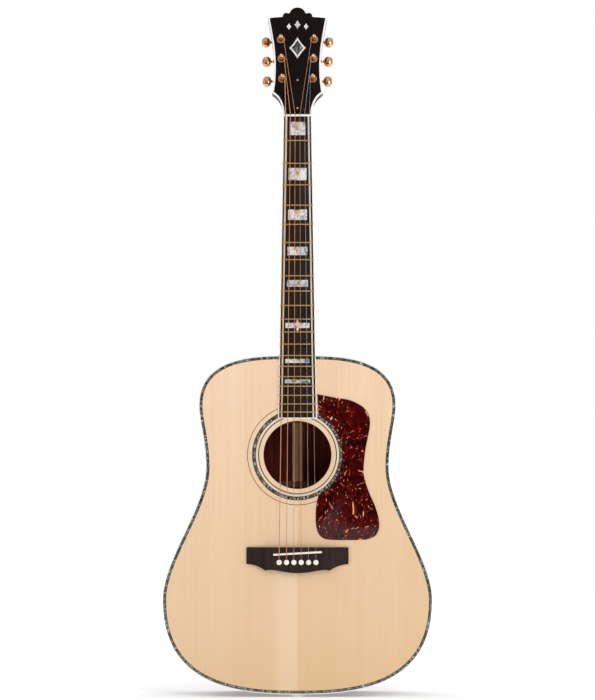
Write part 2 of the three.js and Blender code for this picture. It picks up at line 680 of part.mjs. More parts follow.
// An off-centre round bar, twisted into a right-hand screw thread along X.
function wormThread() {
  const { meanRadius, turns, stepsPerTurn } = WORM;
  const length = turns * WORM_PITCH;
  const section = new THREE.Shape().absarc(WORM.throw, 0, meanRadius, 0, 2 * Math.PI, false);
  const options = {
    depth: length,
    steps: turns * stepsPerTurn,
    curveSegments: 3,
    bevelEnabled: false,
  };
  const bar = new THREE.ExtrudeGeometry(section, options).translate(0, 0, -length / 2);
  const twisted = reshape(bar, (corner) => {
    corner.applyAxisAngle(new THREE.Vector3(0, 0, 1), (2 * Math.PI * corner.z) / WORM_PITCH);
  });
  return twisted.rotateZ(Math.PI / 2).rotateY(Math.PI / 2);
}

const onWormAxis = (geometry) => geometry.translate(0, WORM_OFFSET, GEAR_PLANE);

// The worm, its shaft and the button, in one piece that turns about X. The button is a flat oval.
function tunerButton(side, buttonX) {
  const { length, height, thickness, collarRadius, shaftRadius } = BUTTON;
  const wormEnd = (WORM.turns * WORM_PITCH) / 2;
  const buttonStart = buttonX - length / 2;
  const shaft = turned([
    [0, -wormEnd - 0.6], [WORM.coreRadius, -wormEnd - 0.6], [WORM.coreRadius, wormEnd],
    [shaftRadius, wormEnd + 0.3], [shaftRadius, HOUSING.outer + 1.2],
    [collarRadius, HOUSING.outer + 1.8], [collarRadius * 0.8, buttonStart + 1.2], [0, buttonStart + 1.2],
  ], 8).rotateY((side * Math.PI) / 2);
  const oval = new THREE.SphereGeometry(1, 10, 6).rotateZ(Math.PI / 2);
  oval.scale(length / 2, height / 2, thickness / 2).translate(side * buttonX, 0, 0);
  return join(...[shaft, wormThread(), oval].map((piece) => solid(onWormAxis(piece))));
}

function roundedRectangle(west, east, south, north, corner) {
  const shape = new THREE.Shape();
  shape.moveTo(west + corner, south);
  shape.lineTo(east - corner, south);
  shape.quadraticCurveTo(east, south, east, south + corner);
  shape.lineTo(east, north - corner);
  shape.quadraticCurveTo(east, north, east - corner, north);
  shape.lineTo(west + corner, north);
  shape.quadraticCurveTo(west, north, west, north - corner);
  shape.lineTo(west, south + corner);
  shape.quadraticCurveTo(west, south, west + corner, south);
  return shape;
}

// The sealed housing behind the headstock, with the threaded sleeve that clamps it from the front.
function tunerHousing(side) {
  const { inner, outer, low, high, back, corner } = HOUSING;
  const { radius, bore, flangeRadius, flangeTop } = SLEEVE;
  const front = HEAD_BACK - GAP;
  const [west, east] = side > 0 ? [-inner, outer] : [-outer, inner];
  const box = solid(plate(roundedRectangle(west, east, low, high, corner), back, front, 2));
  const sleeve = solid(turned([
    [0, front - 1], [radius, front - 1], [radius, GAP], [flangeRadius, GAP],
    [flangeRadius, flangeTop - 0.6], [flangeRadius - 1.2, flangeTop], [0, flangeTop],
  ], POST.sides));
  const { wheel, worm, halfHeight, halfLength, sides } = GEAR_ROOM;
  const wheelRoom = cylinder(wheel, GEAR_PLANE - halfHeight, GEAR_PLANE + halfHeight, sides);
  const wormRoom = onWormAxis(cylinder(worm, -halfLength, halfLength, sides).rotateY(Math.PI / 2));
  const shaftBore = cylinder(BUTTON.shaftRadius + 0.45, 0, 20, sides);
  const shaftHole = onWormAxis(shaftBore.rotateY((side * Math.PI) / 2));
  const postBore = cylinder(bore, GEAR_PLANE, 10, POST.sides);
  return cut(join(box, sleeve), ...[wheelRoom, wormRoom, shaftHole, postBore].map(solid));
}

// ---------------------------------------------------------------- the strings

// A route through given points, sampled at those points only.
class Route extends THREE.Curve {
  constructor(points) {
    super();
    this.points = points;
  }

  getPoint(t, target = new THREE.Vector3()) {
    return target.copy(this.points[Math.round(t * (this.points.length - 1))]);
  }

  getPointAt(t, target) {
    return this.getPoint(t, target);
  }

  getTangentAt(t, target = new THREE.Vector3()) {
    const last = this.points.length - 1;
    const i = Math.round(t * last);
    const ahead = this.points[Math.min(i + 1, last)];
    const behind = this.points[Math.max(i - 1, 0)];
    return target.copy(ahead).sub(behind).normalize();
  }

  getSpacedPoints() {
    return this.points.map((point) => point.clone());
  }
}

const sideOf = (string) => (string <= 3 ? 1 : -1);
const postOf = (string) => POSTS[string <= 3 ? string - 1 : 6 - string];

// From the ball under the bridge plate, up past the pin, over the saddle and the nut, to the post.
function stringPiece(string) {
  const radius = STRING_RADII[string - 1];
  const [fromX, toX] = [pinX(string), nutX(string)];
  const saddleY = SADDLE.y + SADDLE.slope * fromX;
  const saddleZ = SADDLE.top + GAP + radius;
  const nutZ = NUT.slotBottom + GAP + radius;
  const dropY = PIN.y + STRING_DROP;
  const onLine = (y) => THREE.MathUtils.mapLinear(y, saddleY, NUT_Y, fromX, toX);
  const { x: postX, s: postS } = postOf(string);
  const side = sideOf(string);
  const tangent = side * (postX - POST.radius - GAP - radius);
  const last = new THREE.Vector3(tangent, postS, STRING_HEIGHT_AT_POST).applyMatrix4(headMatrix);
  const nutBack = new THREE.Vector3(toX, NUT_Y + NUT.length, nutZ);
  const points = [
    new THREE.Vector3(fromX, dropY, BALL.z),
    new THREE.Vector3(fromX, dropY, 4.6),
    new THREE.Vector3(fromX, dropY + 0.7, 6.9 + radius),
    new THREE.Vector3(fromX, dropY + 1.9, 8.1 + radius),
    new THREE.Vector3(fromX, saddleY - 1.9, saddleZ - 0.35),
    new THREE.Vector3(fromX, saddleY, saddleZ),
    new THREE.Vector3(onLine(saddleY + 2), saddleY + 2, saddleZ - 0.01),
    new THREE.Vector3(onLine(NUT_Y - 2), NUT_Y - 2, nutZ + 0.01),
    new THREE.Vector3(toX, NUT_Y + 1, nutZ),
    new THREE.Vector3().lerpVectors(nutBack, last, 0.015),
    last,
  ];
  const section = new THREE.Shape().absarc(0, 0, radius, 0, 2 * Math.PI, false);
  const tube = new THREE.ExtrudeGeometry(section, {
    steps: points.length - 1,
    curveSegments: STRING_SIDES / 2,
    extrudePath: new Route(points),
    bevelEnabled: false,
  });
  const ball = new THREE.SphereGeometry(BALL.radius, 6, 4).translate(fromX, dropY, BALL.z);
  return join(solid(tube), solid(ball));
}

// ---------------------------------------------------------------- putting it together

const guitar = new THREE.Group();
guitar.name = 'guitar';
guitar.rotation.x = Math.PI / 2;
guitar.position.set(0, HANGER_REST.z, -HANGER_REST.y);

function add(name, piece, material, parent = guitar) {
  const { vertProperties, triVerts } = piece.getMesh();
  const geometry = new THREE.BufferGeometry();
  geometry.setAttribute('position', new THREE.BufferAttribute(vertProperties, 3));
  geometry.setIndex(new THREE.BufferAttribute(triVerts, 1));
  geometry.computeVertexNormals();
  const mesh = new THREE.Mesh(geometry, material);
  mesh.name = name;
  parent.add(mesh);
  return mesh;
}

add('soundboard', soundboard(), LOOKS.spruce);
add('back_plate', backPlate(), LOOKS.rosewood);
add('top_binding', topBinding(), LOOKS.binding);
add('back_binding', backBinding(), LOOKS.binding);
add('neck_block', neckBlock(), LOOKS.mahoganyBlock);
add('tail_block', tailBlock(), LOOKS.mahoganyBlock);
for (const [hand, side] of [['bass', -1], ['treble', 1]]) {
  add(`side_${hand}`, rib(side), LOOKS.rosewood);
  add(`lining_top_${hand}`, topLining(side), LOOKS.mahoganyBlock);
  add(`lining_back_${hand}`, backLining(side), LOOKS.mahoganyBlock);
}
add('top_bracing', topBracing(), LOOKS.bareSpruce);
add('transverse_brace', transverseBrace(), LOOKS.bareSpruce);
add('bridge_plate', bridgePlate(), LOOKS.mahoganyBlock);
BACK_BRACES.forEach((brace, i) => add(`back_brace_${i + 1}`, backBrace(brace), LOOKS.mahoganyBlock));
add('back_strip', backStrip(), LOOKS.bareSpruce);

add('pickguard', pickguard(), LOOKS.pickguard);
add('bridge', bridge(), LOOKS.ebony);
add('saddle', solid(saddleBar(0, SADDLE.foot, SADDLE.top)), LOOKS.bone);
add('end_pin', endPin(), LOOKS.bone);

add('neck', neck(), LOOKS.mahogany);
add('fingerboard', fingerboard(), LOOKS.ebony);
add('nut', nut(), LOOKS.bone);
add('headstock_overlay', headOverlay(), LOOKS.blackPlastic);
add('truss_rod_cover', rodCover(), LOOKS.blackPlastic);
add('truss_rod', trussRod(), LOOKS.steel);

for (const string of STRINGS) {
  const pin = add(`bridge_pin_${string}`, bridgePin(), LOOKS.bone);
  pin.position.set(pinX(string), PIN.y, 0);
  add(`string_${string}`, stringPiece(string), string <= 2 ? LOOKS.plainString : LOOKS.woundString);
}

const headstock = new THREE.Group();
headstock.position.set(0, HEAD_START, HEAD_FACE_Z);
headstock.rotation.x = -HEAD_TILT;
guitar.add(headstock);

for (const string of STRINGS) {
  const side = sideOf(string);
  const { x, s, buttonX } = postOf(string);
  const tuner = new THREE.Group();
  tuner.position.set(side * x, s, 0);
  headstock.add(tuner);
  add(`tuner_${string}_housing`, tunerHousing(side), LOOKS.gold, tuner);
  add(`tuner_${string}_post`, tunerPost(), LOOKS.gold, tuner);
  add(`tuner_${string}_button`, tunerButton(side, buttonX - x), LOOKS.gold, tuner);
}

export default guitar;
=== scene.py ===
"""The looks of a steel-string acoustic guitar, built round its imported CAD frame.

Shapes are drawn in millimetres with the guitar lying on its back: x runs to the treble side, y from
the tail up the neck, and z out of the soundboard, whose face is z = 0. bench() turns such a point
into the frame's metres. head() does the same for the tilted headstock: s runs up its face from the
nut, and h stands out of it.
"""

import math

import bmesh
import bpy
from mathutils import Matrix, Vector


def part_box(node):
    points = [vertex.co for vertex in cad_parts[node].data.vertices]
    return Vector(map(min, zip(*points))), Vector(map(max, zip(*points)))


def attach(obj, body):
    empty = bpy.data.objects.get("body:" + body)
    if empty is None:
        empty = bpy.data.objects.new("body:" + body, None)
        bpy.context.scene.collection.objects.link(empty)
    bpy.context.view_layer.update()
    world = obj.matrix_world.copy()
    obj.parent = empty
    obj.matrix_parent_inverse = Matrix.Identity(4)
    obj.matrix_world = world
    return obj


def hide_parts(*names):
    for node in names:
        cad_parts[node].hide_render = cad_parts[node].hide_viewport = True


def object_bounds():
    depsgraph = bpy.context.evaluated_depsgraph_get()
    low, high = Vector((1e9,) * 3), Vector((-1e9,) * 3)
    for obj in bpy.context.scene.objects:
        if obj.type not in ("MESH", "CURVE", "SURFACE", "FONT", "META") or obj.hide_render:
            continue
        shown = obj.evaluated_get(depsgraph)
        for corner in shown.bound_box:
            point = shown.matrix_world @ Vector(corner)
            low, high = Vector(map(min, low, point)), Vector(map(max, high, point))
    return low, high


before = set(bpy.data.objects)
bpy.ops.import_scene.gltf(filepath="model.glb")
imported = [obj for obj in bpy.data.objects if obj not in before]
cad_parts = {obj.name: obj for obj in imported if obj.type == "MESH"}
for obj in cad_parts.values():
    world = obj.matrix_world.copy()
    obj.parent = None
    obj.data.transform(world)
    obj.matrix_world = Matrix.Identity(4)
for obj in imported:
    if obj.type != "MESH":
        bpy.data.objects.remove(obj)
CAD_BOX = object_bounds()

# ---------------------------------------------------------------- places and sizes, in millimetres

MM = 0.001
FACE_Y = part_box("soundboard")[0].y
TAIL_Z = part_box("top_binding")[0].z


def bench(x, y, z):
    return Vector((x * MM, FACE_Y - z * MM, TAIL_Z + y * MM))


def extent(node):
    """A CAD node's lowest and highest x, y and z, as drawn on the bench."""
    low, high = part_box(node)
    return {
        "x": (low.x / MM, high.x / MM),
        "y": ((low.z - TAIL_Z) / MM, (high.z - TAIL_Z) / MM),
        "z": ((FACE_Y - high.y) / MM, (FACE_Y - low.y) / MM),
    }


BODY_LENGTH = extent("top_binding")["y"][1]
NUT_Y, NUT_REAR = extent("nut")["y"]
HEAD_START = NUT_Y + 5
SCALE_LENGTH = (NUT_Y - BODY_LENGTH) / (1 - 2 ** (-14 / 12))  # the body meets the neck at fret 14
BOARD_END = extent("fingerboard")["y"][0]
BRIDGE_TOP = extent("bridge")["y"][1]
BRIDGE_HALF = extent("bridge")["x"][1]

TAIL_DEPTH, NECK_END_DEPTH = 125, 107
BACK_RADIUS = 4572
TOP_THICKNESS = BACK_THICKNESS = 2.8
RIB, RIB_EDGE = 2.3, 6.05  # a rib's thickness, and how far inside either face its edge stands
GLUE = 0.1  # the gap left where the neck meets the body, and beside the fingerboard
HOLE_Y, HOLE_RADIUS = 356.5, 50.8

BOARD_TAPER = 0.033
BOARD_UNDER, BOARD_TOP, BOARD_RADIUS = 0.06, 6.5, 305
FRET_WIDTH, FRET_HEIGHT = 1.9, 1.0
NUT_WIDTH = 42.8

HEAD_TILT = math.radians(14)
HEAD_FACE_Z = 2
HEAD_BACK = -16.5
OVERLAY = 1.5
HEAD_BINDING = 2.4
HEAD_FOOT = -1.2
HEAD_LIP = 2.2

POSTS = {1: (23.0, 56.0, 46.0), 2: (24.2, 88.4, 46.8), 3: (25.1, 120.1, 47.7)}
GEAR_PLANE, WORM_OFFSET, WHEEL_RADIUS, TEETH = -25.5, 5.6, 3.6, 14
WORM_PITCH = 2 * math.pi * WHEEL_RADIUS / TEETH
STRING_RADII = (0.15, 0.2, 0.31, 0.41, 0.53, 0.67)
STRINGS = (1, 2, 3, 4, 5, 6)
PIN_Y, PIN_SPACING = 196.6, 10.94
SADDLE_Y, SADDLE_SLOPE = 209.9, 0.055
NUT_SPACING, SLOT_BOTTOM = 7.1, 7.9
COIL_START_RADIUS, COIL_FOOT, COIL_TOP = 3.3, 6.5, 9.5
WELD = 1e-6  # points closer than this, in metres, are joined
SHARP = 35  # an edge that turns by more degrees isn't shaded smooth
SIDES = {"treble": 1, "bass": -1}


def head(x, s, h):
    """A point of the headstock's own frame, as drawn on the bench."""
    c, n = math.cos(HEAD_TILT), math.sin(HEAD_TILT)
    return x, HEAD_START + s * c + h * n, HEAD_FACE_Z - s * n + h * c


def side_of(string):
    return 1 if string <= 3 else -1


def post_of(string):
    """The post's x and s, and its button's x, on the string's own side."""
    x, s, button = POSTS[string if string <= 3 else 7 - string]
    return side_of(string) * x, s, side_of(string) * button


def pin_x(string):
    return (3.5 - string) * PIN_SPACING


def nut_x(string):
    return (3.5 - string) * NUT_SPACING


def fret_y(fret):
    return NUT_Y - SCALE_LENGTH * (1 - 2 ** (-fret / 12))


def board_half(y):
    return (NUT_WIDTH + BOARD_TAPER * (NUT_Y - y)) / 2


def board_z(x):
    """The crowned playing face of the fingerboard."""
    return BOARD_TOP - x * x / (2 * BOARD_RADIUS)


def back_z(x, y):
    """The arched, tapering outer face of the back."""
    arch = BACK_RADIUS - math.sqrt(BACK_RADIUS**2 - x * x)
    return -TAIL_DEPTH + y * (TAIL_DEPTH - NECK_END_DEPTH) / BODY_LENGTH + arch


# ---------------------------------------------------------------- curves


def mix(a, b, t):
    return a + (b - a) * t


def smooth(t):
    t = min(max(t, 0), 1)
    return t * t * (3 - 2 * t)


def bezier(points, steps):
    """A quadratic or cubic Bezier curve, from its points, without its last point."""
    made = []
    for i in range(steps):
        t = i / steps
        row = [Vector(p) for p in points]
        while len(row) > 1:
            row = [a.lerp(b, t) for a, b in zip(row, row[1:])]
        made.append(tuple(row[0]))
    return made


def chain(curves, steps):
    """Bezier curves that follow one another, with the last one's end point."""
    return [point for curve in curves for point in bezier(curve, steps)] + [curves[-1][-1]]


def arc(centre, radius, start, end, steps, height=None):
    """Points along an arc, or along part of an oval of another height."""
    turn = [mix(start, end, i / steps) for i in range(steps + 1)]
    return [(centre[0] + radius * math.cos(a), centre[1] + (height or radius) * math.sin(a)) for a in turn]


def circle(radius, sides, centre=(0, 0), height=None):
    return arc(centre, radius, 0, 2 * math.pi, sides, height)[:-1]


def onto_circle(points, radius, centre_y=0):
    """Points moved straight out from a centre, or in, onto a circle round it."""
    made = []
    for x, y in points:
        share = radius / math.hypot(x, y - centre_y)
        made.append((x * share, centre_y + (y - centre_y) * share))
    return made


def oblong(x0, x1, y0, y1):
    return [(x0, y0), (x1, y0), (x1, y1), (x0, y1)]


def subdivided(points, steps):
    """A polygon with more points along each side."""
    made = []
    for (x0, y0), (x1, y1) in zip(points, points[1:] + points[:1]):
        made += [(mix(x0, x1, i / steps), mix(y0, y1, i / steps)) for i in range(steps)]
    return made


def spline(points, steps):
    """A smooth curve through points, without its last point."""
    made = []
    ends = [points[0], *points, points[-1]]
    for before, a, b, after in zip(ends, ends[1:], ends[2:], ends[3:]):
        for i in range(steps):
            t = i / steps
            made.append(tuple(
                0.5 * (2 * q + (r - p) * t + (2 * p - 5 * q + 4 * r - s) * t * t + (3 * q - p - 3 * r + s) * t**3)
                for p, q, r, s in zip(before, a, b, after)
            ))
    return made


def along(curve, value, known=0, wanted=1):
    """Reads one coordinate of a curve where another, which always grows along it, has a value."""
    for a, b in zip(curve, curve[1:]):
        if value <= b[known]:
            share = (value - a[known]) / ((b[known] - a[known]) or 1)
            return mix(a[wanted], b[wanted], min(max(share, 0), 1))
    return curve[-1][wanted]


def normals(points, closed=True):
    """The unit normals on the left of a line of points."""
    made, last = [], len(points) - 1
    for i in range(len(points)):
        before = points[i - 1] if closed or i > 0 else points[i]
        after = points[(i + 1) % len(points)] if closed or i < last else points[i]
        dx, dy = after[0] - before[0], after[1] - before[1]
        length = math.hypot(dx, dy) or 1
        made.append((-dy / length, dx / length))
    return made


def inset(points, distance, closed=True):
    """An outline drawn anticlockwise, moved in by a distance."""
    return [
        (x + nx * distance, y + ny * distance)
        for (x, y), (nx, ny) in zip(points, normals(points, closed))
    ]


def mirrored(points):
    return [(-x, y) for x, y in reversed(points)]


def lengths(points):
    """How far along a line of points each one is."""
    made = [0]
    for a, b in zip(points, points[1:]):
        made.append(made[-1] + math.dist(a, b))
    return made


OUTLINE_STEPS = 26
HALF_BODY = chain((
    ((0, 0), (79.1, 0), (201.7, 5.9), (201.7, 139.8)),
    ((201.7, 139.8), (201.7, 201.1), (137.2, 277.2), (137.2, 337.9)),
    ((137.2, 337.9), (137.2, 378.0), (147.8, 406.0), (147.8, 431.3)),
    ((147.8, 431.3), (147.8, 513.3), (37.7, BODY_LENGTH), (0, BODY_LENGTH)),
), OUTLINE_STEPS)
BODY = HALF_BODY + mirrored(HALF_BODY)[1:-1]
AROUND_BODY = lengths(HALF_BODY) + lengths(HALF_BODY)[-2:0:-1]

HEAD_SIDE = chain((
    ((21.4, -2), (21.8, 12), (27, 27), (38.3, 33.6)),
    ((38.3, 33.6), (35.4, 50), (34.2, 76), (36.2, 98)),
    ((36.2, 98), (37.6, 116), (42, 138), (44.7, 154.6)),
), 12)
CREST = (
    bezier(((44.7, 154.6), (34, 156.6), (21.9, 156.8)), 6)
    + arc((17.2, 158.4), 5.2, -0.2, 2.2, 10)
    + arc((0, 160), 12.5, 0.3, math.pi / 2, 10)
)

# ---------------------------------------------------------------- meshes


def loft(rows, around=True, ring=False, caps=True):
    """Quads between rows of points. around closes each row, and ring joins the last row to the first."""
    count = len(rows[0])
    faces = []
    for r in range(len(rows) if ring else len(rows) - 1):
        a, b = r * count, (r + 1) % len(rows) * count
        for i in range(count if around else count - 1):
            j = (i + 1) % count
            faces.append((a + i, a + j, b + j, b + i))
    if caps and around and not ring:
        faces.append(tuple(range(count)))
        faces.append(tuple(range((len(rows) - 1) * count, len(rows) * count)))
    return [point for row in rows for point in row], faces


def combine(*shapes):
    points, faces = [], []
    for more_points, more_faces in shapes:
        start = len(points)
        points += more_points
        faces += [tuple(start + i for i in face) for face in more_faces]
    return points, faces


def placed(shape, place):
    return [place(*point) for point in shape[0]], shape[1]


def quarter_round(radius, steps=4):
    """How far a rounded rim stands in, and how far from its face, from the face to the side."""
    if not radius:
        return [(0, 0)]
    turn = [math.pi / 2 * i / steps for i in range(steps + 1)]
    return [(radius * (1 - math.sin(a)), radius * (1 - math.cos(a))) for a in turn]


def plate(outline, low, high, round_low=0, round_high=0):
    """A flat piece drawn anticlockwise in plan, with rounded rims."""
    rows = [[(x, y, low + up) for x, y in inset(outline, by)] for by, up in quarter_round(round_low)]
    rows += [
        [(x, y, high - down) for x, y in inset(outline, by)]
        for by, down in reversed(quarter_round(round_high))
    ]
    return loft(rows)


def turned(profile, sides=32, hollow=False):
    """A profile of (radius, z) points turned about z. A hollow one is a closed section off the axis."""
    rows = [[(x, y, z) for x, y in circle(radius, sides)] for radius, z in profile]
    return loft(rows, ring=hollow, caps=not hollow and profile[0][0] > 0 and profile[-1][0] > 0)


def tube(path, radius, sides=10):
    """A round bar along a path of points."""
    path = [Vector(p) for p in path]
    rows, across = [], None
    for i, point in enumerate(path):
        ahead = (path[min(i + 1, len(path) - 1)] - path[max(i - 1, 0)]).normalized()
        if across is None:
            across = ahead.orthogonal()
        across = (across - ahead * across.dot(ahead)).normalized()
        up = ahead.cross(across)
        rows.append([tuple(point + across * a + up * b) for a, b in circle(radius, sides)])
    return loft(rows)


def box(x0, x1, y0, y1, z0, z1):
    return loft([[(x, y, z) for x, y in oblong(x0, x1, y0, y1)] for z in (z0, z1)])


def patch(rows_below, rows_above):
    """A thin solid between two grids of points of the same size."""
    under, over = loft(rows_below, around=False), loft(rows_above, around=False)
    count, height = len(rows_below[0]), len(rows_below)
    rim = [*range(count)]
    rim += [r * count + count - 1 for r in range(1, height)]
    rim += [(height - 1) * count + i for i in range(count - 2, -1, -1)]
    rim += [r * count for r in range(height - 2, 0, -1)]
    points, faces = combine(under, over)
    shift = len(under[0])
    for a, b in zip(rim, rim[1:] + rim[:1]):
        faces.append((a, b, b + shift, a + shift))
    return points, faces


def layer(grid, low, high):
    """A thin solid over a grid of (x, y) points, between two heights that depend on x and y."""
    return patch(*[[[(x, y, z_of(x, y)) for x, y in row] for row in grid] for z_of in (low, high)])


def put(name, data):
    """A new object in the scene."""
    thing = bpy.data.objects.new(name, data)
    bpy.context.scene.collection.objects.link(thing)
    return thing


def mesh_of(name, shape, grain=()):
    """A smooth mesh of a shape drawn on the bench, with doubled points joined and faces turned out."""
    points, faces = shape
    mesh = bpy.data.meshes.new(name)
    mesh.from_pydata([bench(*point) for point in points], [], faces)
    if grain:
        ways = mesh.attributes.new("grain", "FLOAT_VECTOR", "POINT")
        ways.data.foreach_set("vector", [value * MM for way in grain for value in way])
    work = bmesh.new()
    work.from_mesh(mesh)
    bmesh.ops.remove_doubles(work, verts=work.verts, dist=WELD)
    bmesh.ops.recalc_face_normals(work, faces=work.faces)
    work.to_mesh(mesh)
    work.free()
    mesh.shade_smooth()
    return mesh


def make(name, shape, look, body="root", stands_for=(), sharp=SHARP, grain=()):
    """A piece of the guitar. look is its material and slot, and the slot is not used. grain says where each point
    lies along, across and into the material, for one that is bent or laid in short lengths."""
    material, slot = look
    mesh = mesh_of(name, shape, grain)
    mesh.set_sharp_from_angle(angle=math.radians(sharp))
    mesh.materials.append(material)
    piece = put(name, mesh)
    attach(piece, body)
    if stands_for:
        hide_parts(*stands_for)
    return piece


def carve(piece, shape, operation="DIFFERENCE"):
    """Cuts a shape drawn on the bench out of a piece, or joins it on with UNION."""
    tool = put("carving_tool", mesh_of("carving_tool", shape))
    cut = piece.modifiers.new("carve", "BOOLEAN")
    cut.operation, cut.solver, cut.object = operation, "EXACT", tool
    carved = bpy.data.meshes.new_from_object(piece.evaluated_get(bpy.context.evaluated_depsgraph_get()))
    piece.modifiers.clear()
    piece.data = carved
    bpy.data.objects.remove(tool)
    carved.set_sharp_from_angle(angle=math.radians(SHARP))


# ---------------------------------------------------------------- materials

WHITE = (1, 1, 1, 1)
SHELL_LENGTH = 0.011
WAVES_PER_SCALE = 20  # a wave texture of scale 1 has this many waves in 2 pi metres
# Each layer of flecks in the tortoiseshell: its turn, its scale, how rare and large they are, and colour
FLECKS = (
    (0.2, (560, 0, 170), 0.2, 0.36, (160, 54, 38)),
    (-0.5, (460, 0, 140), 0.5, 0.34, (222, 150, 128)),
    (0.9, (330, 0, 100), 0.62, 0.32, (232, 144, 90)),
    (-0.55, (200, 0, 56), 0.8, 0.36, (238, 184, 108)),
)


def srgb(red, green, blue):
    """A colour given as 0 to 255 on a screen, as the shader's linear colour."""
    parts = [c / 255 for c in (red, green, blue)]
    linear = [c / 12.92 if c <= 0.04045 else ((c + 0.055) / 1.055) ** 2.4 for c in parts]
    return (*linear, 1)


class Recipe:
    """A material's nodes, made by short calls. An input is a value or another node's socket, and a
    colour may be given as red, green and blue from 0 to 255."""

    def __init__(self, owner, output="Principled BSDF", **shader):
        owner.use_nodes = True
        self.owner = owner
        self.nodes, self.links = owner.node_tree.nodes, owner.node_tree.links
        self.shader = self.nodes[output]
        self.fill(self.shader, {key.replace("_", " "): value for key, value in shader.items()})

    def fill(self, node, inputs):
        for key, value in inputs.items():
            socket = node.inputs[key]
            if isinstance(value, bpy.types.NodeSocket):
                self.links.new(value, socket)
            else:
                screen_colour = socket.type == "RGBA" and len(value) == 3
                socket.default_value = srgb(*value) if screen_colour else value

    def add(self, kind, inputs=(), out=0, **settings):
        """A new node's output, by number or name."""
        node = self.nodes.new("ShaderNode" + kind)
        for key, value in settings.items():
            setattr(node, key, value)
        self.fill(node, dict(inputs))
        return node.outputs[out]

    def place(self, scale=(1, 1, 1)):
        """Where a point of the piece is, in metres along the guitar's own axes, then scaled."""
        return self.scaled(self.add("TexCoord", out="Object"), scale)

    def scaled(self, vector, scale, turn=(0, 0, 0)):
        return self.add("Mapping", {"Vector": vector, "Scale": scale, "Rotation": turn})

    def moved(self, where, colour, by):
        """A place, moved along each axis by a colour's red, green and blue."""
        return self.add("VectorMath", {0: where, 1: self.scaled(colour, by)}, operation="ADD")

    def along_grain(self):
        """Where a point lies along, across and into a piece that make() gave a grain, in metres."""
        return self.add("Attribute", out="Vector", attribute_name="grain")

    def split(self, vector, axis):
        """One of a vector's numbers."""
        return self.add("SeparateXYZ", {"Vector": vector}, axis)

    def noise(self, vector, scale=1, detail=4, roughness=0.5, distortion=0, out="Fac"):
        inputs = {"Vector": vector, "Scale": scale, "Detail": detail}
        inputs.update({"Roughness": roughness, "Distortion": distortion})
        return self.add("TexNoise", inputs, out)

    def cells(self, inputs, **settings):
        """A cell pattern's node, for its colour and its distance."""
        return self.add("TexVoronoi", inputs, **settings).node.outputs

    def ramp(self, value, *stops):
        """Colours at places from 0 to 1 of a value."""
        node = self.add("ValToRGB", {"Fac": value}).node
        marks = node.color_ramp.elements
        while len(marks) < len(stops):
            marks.new(0.5)
        for mark, (place, colour) in zip(marks, stops):
            mark.position, mark.color = place, srgb(*colour)
        return node.outputs["Color"]

    def level(self, value, low, high, to_low=0.0, to_high=1.0):
        inputs = {"Value": value, "From Min": low, "From Max": high, "To Min": to_low, "To Max": to_high}
        return self.add("MapRange", inputs)

    def maths(self, operation, a, b=0.0):
        return self.add("Math", {0: a, 1: b}, operation=operation)

    def blend(self, share, a, b):
        return self.add("Mix", {0: share, 6: a, 7: b}, 2, data_type="RGBA")

    def stain(self, tone, colour, value, low, high, most=1.0, least=0.0):
        """A tone with another colour over it, least where a value is low and most where it is high."""
        return self.blend(self.level(value, low, high, least, most), tone, colour)

    def finish(self, slot, colour, gloss=None, relief=None, strength=0.0, distance=0.0003):
        """Links the shader's inputs, and gives the material with its slot."""
        self.links.new(colour, self.shader.inputs["Base Color"])
        if gloss:
            self.links.new(gloss, self.shader.inputs["Roughness"])
        if relief:
            bump = self.add("Bump", {"Height": relief, "Strength": strength, "Distance": distance})
            self.links.new(bump, self.shader.inputs["Normal"])
        return self.owner, slot


def recipe(name, **shader):
    return Recipe(bpy.data.materials.new(name), **shader)


def spruce(name, slot, light, dark, bare=False):
    """Quartersawn spruce, bookmatched about the centre seam, under gloss lacquer or bare, with painted shade
    darkening it towards the tail.
    """
    r = recipe(name, Coat_Weight=0.0 if bare else 0.3, Coat_Roughness=0.1, IOR=1.45)
    x, y, z = r.split(r.place(), 0).node.outputs
    right = r.maths("GREATER_THAN", x, 0.0)
    folded = r.add("CombineXYZ", {"X": r.maths("ABSOLUTE", x), "Y": y, "Z": z})
    lines = r.noise(r.scaled(folded, (900, 40, 2.4)), detail=3, roughness=0.6)
    rings = r.noise(r.scaled(folded, (190, 20, 1.1)), detail=2)
    bands = r.noise(r.scaled(folded, (22, 5, 0.6)), detail=2)
    planks = r.noise(r.scaled(r.place(), (30, 5, 0.4)), detail=1)
    silk = r.noise(r.scaled(folded, (200, 80, 24)), detail=3)
    grain = r.level(lines, 0.4, 0.72)
    tone = r.stain(light, dark, bands, 0.3, 0.7)
    tone = r.blend(r.maths("MULTIPLY", grain, 0.24), tone, (216, 172, 122))
    tone = r.stain(tone, (220, 178, 132), rings, 0.52, 0.78, 0.16)
    tone = r.stain(tone, (255, 234, 208), silk, 0.5, 0.8, 0.14)
    side = r.maths("MULTIPLY", right, r.level(planks, 0.4, 0.62, 0.05, 0.3))
    tone = r.blend(side, tone, (228, 190, 144))
    # Painted shade: the wood grows darker and yellower towards the tail, lower down, where less light falls.
    tone = r.stain(tone, (222, 184, 132), z, -0.42, -0.86, 0.62)
    beside_seam = r.level(x, -0.04, -0.024, 0, 0.32)
    tone = r.blend(r.maths("MULTIPLY", beside_seam, r.maths("SUBTRACT", 1.0, right)), tone, (250, 226, 198))
    gloss = r.level(grain, 0, 1, 0.66 if bare else 0.4, 0.78 if bare else 0.48)
    return r.finish(slot, tone, gloss, grain, 0.25 if bare else 0.05)


